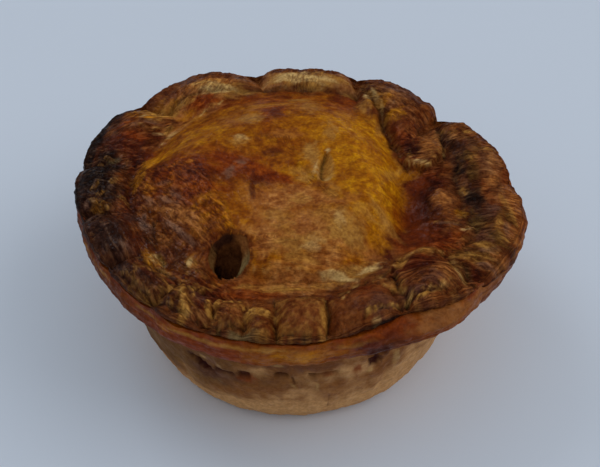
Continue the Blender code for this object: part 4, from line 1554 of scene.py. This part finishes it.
    def colour_cuts(self, x: Array, y: Array, colour: Array) -> Array:
        """Shows raw dough and shadow in the slits, and a browned ring round the steam hole.

        Args:
            x: plan coordinates, in millimetres.
            y: plan coordinates, in millimetres.
            colour: the colour at each point.

        Returns:
            The colour with the cuts in it.
        """
        wander = UNEVEN.at(x, y, 1.2, 71, 2)
        for row in self.slits:
            along, across = self.inside_slit(x, y, row)
            ends = 1.0 - smooth((np.abs(along) - 0.75) / 0.25)
            across = across + 0.12 * wander
            slope = ends * smooth((across + 1.15) / 0.5) * smooth((1.1 - across) / 0.3)
            colour = blend(colour, Tone.STRAW, 0.8 * slope)
            lip = bell((across - 1.25 * row[6]) / 0.35) * bell((along + 0.3) / 0.5)
            foot = bell((along + 0.8) / 0.16) * bell((across + 0.2) / 0.8)
            colour = blend(colour, Tone.CREAM, 0.95 * np.clip(lip + foot, 0.0, 1.0) * smooth(0.7 + wander))
            dark = ends * bell((across - 0.55) / 0.2)
            colour = blend(colour, Tone.OLIVE, 0.9 * dark)
        along, across = oval(x, y, self.hole)
        ring = bell((np.hypot(along, across) - 1.08 + 0.1 * wander) / 0.1)
        return blend(colour, Tone.RUSSET, 0.75 * ring)

    def lip(self, angle: Array, rings: Array, height: Array, colour: Array) -> tuple[Array, Array]:
        """Rounds the lid's edge over and tucks it in above the flange, painted darker as it turns under and
        with painted shade under the front rolls.

        Args:
            angle: each vertex's angle round the pie.
            rings: its ring, from 1 at the edge of the upper face.
            height: the height of the upper face where the ring started, in millimetres.
            colour: the colour there.

        Returns:
            Places in millimetres, and colours.
        """
        share = rings / self.lip_rings
        ledge = self.form.rim_level(angle) - self.form.ledge_drop
        hang = bell(turn_between(angle, math.radians(self.hang[0])) / self.hang[1])
        bottom = ledge - 0.3 - self.hang[2] * hang
        top = np.maximum(height, bottom + 1.2)
        swing = share * math.radians(170.0)
        half = 0.5 * (top - bottom)
        radius = self.form.lid_radius(angle)
        arc, wrap = angle * self.edge_radius, 2 * math.pi * self.edge_radius
        rough = 0.35 * UNEVEN.at(arc, share * 5.0, 3.0, 81, 3, wrap)
        layers = 0.16 * UNEVEN.at(arc / 6.0, share * 9.0, 1.5, 82, 2, wrap / 6.0)
        out = radius + 0.55 * half * np.sin(swing) - 1.4 * smooth((share - 0.6) / 0.4)
        out = out + 0.35 * hang * smooth(share / 0.5)
        out = out + (rough + layers) * np.sin(swing)
        z = bottom + half * (1.0 + np.cos(swing))
        # The edge is painted darker as it turns under, and painted shade darkens it under the front rolls
        dark = 0.4 * smooth(share * 1.5) * smooth(0.5 + 3.0 * layers)
        colour = blend(colour, Tone.SCORCH_AND_SHADE, dark)
        over = bell(turn_between(angle, math.radians(self.overhang[0])) / self.overhang[1])
        colour = blend(colour, Tone.SCORCH_AND_SHADE, 0.9 * over * smooth((share - 0.25) / 0.2))
        return np.stack([out * np.cos(angle), out * np.sin(angle), z], axis=1), colour

    def pit(self, place: Array, rings: Array, colour: Array) -> tuple[Array, Array]:
        """Shapes the steam hole: browned crust at its edge, raw dough on the side that shows, and painted
        shade.

        Args:
            place: where each vertex would lie on the upper face, in millimetres.
            rings: its ring, from 1 at the edge of the upper face.
            colour: the colour of the upper face there.

        Returns:
            Places in millimetres, and colours.
        """
        share = rings / self.hole_rings
        along, across = oval(place[:, 0], place[:, 1], self.hole)
        away = np.maximum(np.hypot(along, across), 1e-6)
        along, across = along / away, across / away
        right, back = smooth((0.1 - across) / 0.5), smooth((along - 0.1) / 0.5)
        narrow = 1.0 - 0.34 * smooth(share / 0.5) + 0.3 * smooth((share - 0.5) / 0.5)
        wall = 1.0 - 0.08 * smooth(share / 0.2)
        turn = math.radians(self.hole[4])
        along = along * wall * self.hole[2]
        across = across * narrow * self.hole[3] + 0.4 * smooth(share / 0.5)
        x = self.hole[0] + along * math.cos(turn) - across * math.sin(turn)
        y = self.hole[1] + along * math.sin(turn) + across * math.cos(turn)
        z = place[:, 2] - self.hole_depth * share**1.2
        uneven = UNEVEN.at(x * 2.0, z, 2.5, 91, 3)
        x, y = x + 0.25 * uneven, y + 0.25 * uneven
        # The wall inside is painted shade: dark umber at the back left and dim drab at the front left. The
        # right side, which shows, is loaf brown and raw dough
        under = smooth((share - 0.04 + 0.03 * uneven) / 0.08)
        colour = blend(colour, Tone.UMBER, under)
        colour = blend(colour, Tone.LOAF, 0.9 * under * right)
        front = smooth((0.5 - along / self.hole[2]) / 0.6)
        colour = blend(colour, Tone.DOUGH, 0.95 * under * right * front)
        colour = blend(colour, Tone.DRAB, 0.95 * under * (1.0 - right) * (1.0 - back))
        # Deeper down the hole is painted dark brown, as shade
        deep = smooth((share - 0.38 + 0.05 * uneven) / 0.16)
        colour = blend(colour, Tone.BROWN, deep)
        colour = blend(colour, Tone.DRAB, 0.25 * deep)
        return np.stack([x, y, z], axis=1), colour


@dataclass
class Case:
    """The pastry case: flange, leaning wall, rounded corner and flat base, as one turned sheet."""

    form: PieForm
    # Vertices in a ring, and rings from under the lid to the base
    columns: int = 800
    rings: int = 104
    # Streaks of the case's grain in a radian round it, and in a millimetre up it
    grain: tuple[float, float] = (12.0, 0.9)
    # Radius at which lengths round the case are measured, in millimetres
    arc_radius: float = 46.0
    # Height of the flange's underside, in millimetres
    flange_foot: float = 27.5
    # Angle, height, half length, half width, turn, strength
    coats: Coats = (
        # Paler at the right of the wall: partly its own colour and partly painted light, the window being
        # at the right
        (Tone.BISCUIT, ((-50, 11, 15, 10, 0, 0.75), (-20, 14, 24, 12, 0, 0.8), (20, 12, 20, 10, 0, 0.5))),
        # Drab at the left and front of the wall: partly its own colour and partly painted shade, away from
        # the window
        (Tone.DRAB, (
            (-138, 15, 22, 9, 0, 0.8), (-116, 19, 12, 6, 0, 0.6), (-170, 15, 20, 9, 0, 0.5),
            (-92, 19, 14, 4, 0, 0.3),
        )),
        (Tone.BISCUIT, ((-128, 4, 10, 3, 0, 0.4), (-92, 5.0, 26, 5, 0, 0.95), (-86, 14, 8, 2, 0, 0.3))),
        (Tone.RUST, ((-118, 31, 12, 3, 0, 0.8), (-66, 31, 12, 3.4, 0, 0.6), (-106, 29.6, 8, 1.6, 0, 0.7))),
        (Tone.RUSSET, ((-70, 31, 8, 3, 0, 0.9), (-160, 31, 22, 4, 0, 0.6), (-134, 29, 10, 2, 0, 0.5))),
        (Tone.UMBER, (
            (-172, 31, 20, 4, 0, 0.35), (150, 31, 24, 4, 0, 0.6), (110, 31, 12, 4, 0, 0.4),
            (-66, 29.6, 6, 2, 0, 0.5),
        )),
        (Tone.AMBER, ((-88, 31, 9, 3.4, 0, 0.95), (-98, 31, 5, 2, 0, 0.6), (-44, 31, 8, 2.4, 0, 0.4))),
        (Tone.TAN, (
            (-50, 33, 8, 2, 0, 0.7), (-34, 32.6, 8, 2, 0, 0.6), (-88, 32, 6, 1.6, 0, 0.5),
            (-30, 28.6, 14, 1, 0, 0.5),
        )),
        (Tone.NUT, (
            (-20, 31, 16, 3, 0, 0.9), (6, 31, 12, 3, 0, 0.8), (-150, 31, 18, 3, 0, 0.6),
            (-60, 31, 8, 2.4, 0, 0.5),
        )),
        (Tone.STRAW, (
            (-98, 33.4, 5, 0.5, 0, 0.8), (-106, 33.3, 3, 0.4, 0, 0.7), (-118, 33.3, 5, 0.35, 0, 0.7),
            (-130, 33.2, 4, 0.35, 0, 0.6),
        )),
        (Tone.GOLD, ((-88, 31.6, 3, 1.6, 0, 0.6), (-94, 32, 2, 1, 0, 0.6), (-124, 32.4, 3, 0.5, 0, 0.5))),
        (Tone.NUT, ((-156, 32, 14, 2, 0, 0.7), (-168, 31, 10, 2, 0, 0.5), (-30, 31, 6, 3, 0, 0.4))),
        (Tone.STRAW, (
            (-150, 33.2, 4, 0.4, 0, 0.6), (-160, 33, 3, 0.4, 0, 0.5), (-112, 33, 4, 0.4, 0, 0.6),
            (-76, 33, 4, 0.5, 0, 0.4),
        )),
        # Torn, dark gash under the flange at the left, its purple stain and painted sheen on it; the purple
        # band just under the flange at the front is painted shade
        (Tone.PLUM, (
            (-116.5, 16.4, 5, 3.4, -20, 0.75), (-110, 17.4, 5, 1.8, 0, 0.5), (-90, 24, 14, 1.6, 0, 0.4),
        )),
        (Tone.PAINTED_SHEEN, ((-115, 20.6, 5, 0.8, -24, 0.6), (-112, 16.6, 2.4, 0.7, 0, 0.5))),
        (Tone.GARNET, (
            (-118.6, 18.4, 3.8, 1.0, -32, 1.0), (-111.4, 18.6, 2.6, 0.7, 0, 0.9),
            (-121.6, 20.4, 1.6, 0.9, -20, 0.9),
        )),
        (Tone.CREAM, (
            (-118.6, 21.2, 1.3, 0.4, -10, 0.7), (-112.6, 20.0, 1.2, 0.3, 0, 0.5),
            (-95, 24.6, 1.4, 0.3, 0, 0.4),
        )),
        # Stains by the dents, and the split at the right
        (Tone.RUST, (
            (-104, 18.4, 2.4, 2, 0, 0.7), (-72.4, 20.4, 1.2, 2.2, 0, 0.8), (-81, 20.6, 3, 0.8, 0, 0.5),
        )),
        (Tone.GARNET, (
            (-67.4, 22.2, 1.7, 2.0, 20, 1.0), (-66, 25, 4, 0.4, -4, 0.8), (-64, 23.6, 1.4, 0.8, 0, 0.6),
        )),
        (Tone.CREAM, (
            (-68.8, 18.6, 1.2, 0.6, 30, 0.6), (-60, 20, 1, 4, 10, 0.4), (-84, 16, 0.4, 2, 0, 0.4),
            (-91, 17, 0.4, 1.6, 30, 0.4),
        )),
        (Tone.BISCUIT, ((-50, 12, 3, 4, 0, 0.2), (-62, 6, 9, 4, 0, 0.7))),
    )
    # Square dents under the flange: angle, height, half length, half height, turn, depth, darkness of the
    # painted shade in it
    notches: tuple[Row, ...] = (
        (-105.2, 19.3, 1.3, 1.1, 0, 0.9, 0.95),
        (-94.3, 21.1, 1.5, 0.7, 0, 1, 1),
        (-91, 19.4, 0.25, 1.6, 12, 0.4, 0.6),
        (-82, 21.2, 3.1, 0.5, 0, 0.7, 0.6),
        (-85.6, 20.9, 0.8, 0.6, 0, 0.6, 0.9),
        (-66, 24.6, 3, 0.35, -6, 0.8, 0.8),
        (-67.4, 22.4, 1.3, 1.5, 20, 0.8, 0.8),
        (-118.4, 18.4, 3.2, 0.7, -32, 0.9, 0.8),
        (-111.4, 18.6, 2.2, 0.5, 0, 0.7, 0.8),
        (-80.2, 9, 0.2, 3.4, 0, 0.25, 0.3),
    )

    def build(self) -> bpy.types.Object:
        """Models the case and gives it its browning.

        Returns:
            The case's object.
        """
        bm = bmesh.new()
        bmesh.ops.create_circle(bm, segments=self.columns, radius=1.0)
        extrude_rings(bm, list(bm.edges), self.rings, -1.0, close=True)
        sheet = np.array([vert.co[:] for vert in bm.verts])
        angle = np.arctan2(sheet[:, 1], sheet[:, 0])
        place, colour, glaze = self.shape(angle, -sheet[:, 2] / self.rings)
        mesh = sheet_to_mesh(bm, "case", place)
        width, rise = self.grain
        flow = np.stack([np.cos(angle) * width, place[:, 2] * rise, np.sin(angle) * width], axis=1)
        set_attribute(mesh, "browning", colour)
        set_attribute(mesh, "glaze", glaze)
        set_attribute(mesh, "flow", flow)
        set_attribute(mesh, "streak", 0.08 + 0.2 * smooth((place[:, 2] - 27.0) / 2.0))
        pastry = BakedPastry("baked_case_pastry", roughness_glazed=0.5, coat_roughness=0.35, mottling=0.14)
        mesh.materials.append(pastry.material())
        return link_piece(mesh)

    def stations(self, angle: Array) -> list[tuple[Array, Array]]:
        """Rings of the case's outline from under the lid to the base.

        Args:
            angle: each vertex's angle round the pie.

        Returns:
            Each ring's radius and height at every vertex, in millimetres.
        """
        form = self.form
        lid, flange = form.lid_radius(angle), form.flange_radius(angle)
        ledge = form.rim_level(angle) - form.ledge_drop
        under = ledge - form.flange_thickness
        width = flange - lid
        base = around(form.base_reach, angle)
        one = np.ones_like(angle)
        rings = [
            (lid - 2.0, ledge - 0.9),
            (lid - 1.0, ledge - 0.45),
            (lid - 0.2, ledge - 0.15),
            (lid + 0.4 * width, ledge + 0.1 - 0.1 * width),
            (flange - 0.22 * width - 0.35, ledge + 0.1 - 0.3 * width),
            (flange - 0.05, ledge - 1.0 - 0.35 * width),
            (flange + 0.1, ledge - 2.2 - 0.25 * width),
            (flange - 0.05, ledge - 3.5 - 0.15 * width),
            (flange - 0.25, ledge - 4.9),
            (flange - 1.0, under - 0.2),
            (flange - 3.0, under - 0.45),
        ]
        for share in (0.96, 0.88, 0.78, 0.67, 0.56, 0.45, 0.34, 0.24, 0.15):
            lean = base + (form.wall_top_radius - base) * share
            rings.append((lean + form.wall_bulge * 4.0 * share * (1.0 - share), under * share))
        for degrees in (20.0, 45.0, 68.0, 90.0):
            bend = math.radians(degrees)
            radius = base + 0.6 - form.base_corner * (1.0 - math.cos(bend))
            rings.append((radius, form.base_corner * (1.0 - math.sin(bend)) * one))
        rings.append((base - 5.5, 0.0 * one))
        rings.append((base - 9.0, 0.0 * one))
        return rings

    def shape(self, angle: Array, share: Array) -> tuple[Array, Array, Array]:
        """Places and colours every vertex of the case.

        Args:
            angle: the vertex's angle round the pie.
            share: how far down the outline it is, 0 under the lid to 1 on the base.

        Returns:
            Places in millimetres, colours, and the thickness of the glaze.
        """
        rings = self.stations(angle)
        radii = np.stack([ring[0] for ring in rings], axis=1)
        heights = np.stack([ring[1] for ring in rings], axis=1)
        count = len(rings)
        spot = share * (count - 1)
        step = np.clip(np.floor(spot).astype(int), 0, count - 2)
        t = spot - step
        rows = np.arange(len(angle))

        def along(values: Array) -> Array:
            """Follows the outline smoothly between its rings."""
            before = values[rows, np.maximum(step - 1, 0)]
            here, after = values[rows, step], values[rows, step + 1]
            later = values[rows, np.minimum(step + 2, count - 1)]
            return curve(before, here, after, later, t)

        radius, z = along(radii), along(heights)
        arc, wrap = angle * self.arc_radius, 2 * math.pi * self.arc_radius
        free = smooth(z / 1.2) * smooth((share - 0.06) / 0.05)
        flange = smooth((z - self.flange_foot) / 1.5)
        for degrees, middle, width, tall, depth in self.form.dents:
            over = turn_between(angle, math.radians(degrees)) * radius / (0.5 * width)
            up = (z - middle) / (0.5 * tall)
            radius = radius - depth * np.exp(-0.7 * (over**2 + up**2)) * (1.0 - flange)
        dent_shade = np.zeros_like(radius)
        for row in self.notches:
            over = turn_between(angle, math.radians(row[0])) * radius
            cut = plate(over, z, (0.0, *row[1:]), 0.5)
            radius = radius - row[5] * cut * (1.0 - flange)
            dent_shade = np.maximum(dent_shade, row[6] * cut * (1.0 - flange))
        broad = UNEVEN.at(arc, z, 9.0, 101, 3, wrap)
        fine = UNEVEN.at(arc, z, 2.2, 102, 3, wrap)
        layers = UNEVEN.at(arc / 6.0, z * 1.3, 1.2, 103, 2, wrap / 6.0)
        proud = 0.35 * broad + 0.16 * fine + 0.22 * flange * layers
        radius = radius + free * proud
        z = z + free * flange * 0.3 * UNEVEN.at(arc, radius, 5.0, 104, 3, wrap)
        place = np.stack([radius * np.cos(angle), radius * np.sin(angle), np.maximum(z, 0.0)], axis=1)
        colour = self.colour(angle, z, flange, broad, fine, layers)
        # The dents are painted dark garnet, as shade in them
        colour = blend(colour, Tone.GARNET, 0.85 * dent_shade)
        glaze = np.clip(0.06 + 0.3 * flange + 0.2 * fine, 0.0, 1.0)
        return place, colour, glaze

    def colour(
        self, angle: Array, z: Array, flange: Array, broad: Array, fine: Array, layers: Array
    ) -> Array:
        """Linear colour of the case's crust at each point.

        Args:
            angle: the angle round the pie.
            z: the height, in millimetres.
            flange: 1 on the flange and 0 on the wall.
            broad: the wall's broad unevenness.
            fine: the wall's fine unevenness.
            layers: the flange's thin level layers.

        Returns:
            An array of red, green and blue rows.
        """
        paint = Paint(len(z), Tone.BISCUIT)
        high = smooth((z - 3.0) / 9.0)
        paint.cover(Tone.LOAF, 0.95 * high * smooth(0.85 + 0.9 * broad))
        # Browner towards the top of the wall, under the flange: partly baked colour and partly painted
        # shade
        paint.cover(Tone.BROWN, 0.4 * smooth((z - 12.0) / 10.0) * smooth(0.3 + 1.2 * broad + 0.4 * fine))
        paint.cover(Tone.RUST, 0.95 * flange)
        paint.cover(Tone.AMBER, 0.5 * flange * smooth(0.4 + 1.1 * broad + 0.8 * layers))
        paint.cover(Tone.RUSSET, 0.5 * flange * smooth(0.2 - 1.2 * broad + 0.9 * layers))
        for tone, rows in self.coats:
            for number, row in enumerate(rows):
                arc = turn_between(angle, math.radians(row[0])) * self.arc_radius
                paint.cover(tone, daub(arc, z, (0.0, *row[1:]), 91 + number))
        return paint.rgb


def link_piece(mesh: bpy.types.Mesh) -> bpy.types.Object:
    """Puts a finished mesh in the scene as a piece of the pie.

    Args:
        mesh: the mesh, in its place.

    Returns:
        The piece, which rides on the pie's one body and stands for its solid.
    """
    piece = bpy.data.objects.new(mesh.name, mesh)
    bpy.context.scene.collection.objects.link(piece)
    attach(piece, "root")
    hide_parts("pie")
    return piece


@dataclass
class Studio:
    """The table, the daylight and the camera."""

    elevation: float = 41.5
    distance: float = 0.260
    aim: tuple[float, float, float] = (0.0007, 0.0, 0.0227)
    lens: float = 66.7
    sky: Row = (0.86, 0.93, 1.0, 1.0)
    sky_strength: float = 0.48

    def build(self) -> None:
        """Sets up the whole studio."""
        self.lay_table()
        self.light()
        self.place_camera()

    def lay_table(self) -> None:
        """Lays a wide pale table top under the pie."""
        bm = bmesh.new()
        bmesh.ops.create_grid(bm, x_segments=8, y_segments=8, size=2.0)
        mesh = bpy.data.meshes.new("table")
        bm.to_mesh(mesh)
        bm.free()
        mesh.materials.append(TableTop().material())
        table = bpy.data.objects.new("table", mesh)
        bpy.context.scene.collection.objects.link(table)

    def light(self) -> None:
        """Lights the pie with soft daylight from above and behind."""
        world = bpy.data.worlds.new("daylight")
        world.use_nodes = True
        sky = world.node_tree.nodes["Background"]
        sky.inputs["Color"].default_value = self.sky
        sky.inputs["Strength"].default_value = self.sky_strength
        world.cycles_visibility.glossy = False
        bpy.context.scene.world = world
        self.softbox("window", (0.75, 0.0, 0.6), 0.9, 2.5, (0.95, 0.97, 1.0), glossy=False)
        self.softbox("skylight", (-0.38, 0.36, 0.62), 0.35, 0.7, (0.85, 0.92, 1.0), glossy=True)

    def softbox(self, name: str, spot: Row, size: float, watts: float, colour: Row, glossy: bool) -> None:
        """Hangs a square soft light that faces the pie.

        Args:
            name: the light's name.
            spot: where it hangs, in metres.
            size: its side, in metres.
            watts: its power.
            colour: its linear colour.
            glossy: whether it shows in the glaze.
        """
        lamp = bpy.data.lights.new(name, "AREA")
        lamp.size = size
        lamp.energy = watts
        lamp.color = colour
        hung = bpy.data.objects.new(name, lamp)
        hung.location = spot
        hung.visible_glossy = glossy
        hung.rotation_euler = (Vector(self.aim) - Vector(spot)).to_track_quat("-Z", "Y").to_euler()
        bpy.context.scene.collection.objects.link(hung)

    def place_camera(self) -> None:
        """Stands the camera in front of the pie, looking down at it."""
        tilt = math.radians(self.elevation)
        back = Vector((0.0, -math.cos(tilt), math.sin(tilt)))
        data = bpy.data.cameras.new("camera")
        data.lens = self.lens
        data.sensor_width = 36.0
        data.clip_start = 0.01
        camera = bpy.data.objects.new("camera", data)
        camera.location = Vector(self.aim) + back * self.distance
        camera.rotation_euler = (-back).to_track_quat("-Z", "Y").to_euler()
        bpy.context.scene.collection.objects.link(camera)
        bpy.context.scene.camera = camera
        bpy.context.scene.view_settings.view_transform = "Standard"


def main() -> None:
    """Builds the pie and its studio, and logs how many faces each piece has."""
    logging.basicConfig(level=logging.INFO, format="%(message)s")
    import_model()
    form = PieForm()
    pieces = (Lid(form, LidSurface(form)).build(), Case(form).build())
    for piece in pieces:
        LOG.info("%s: %d faces", piece.name, len(piece.data.polygons))
    Studio().build()


if __name__ == "__main__":
    main()
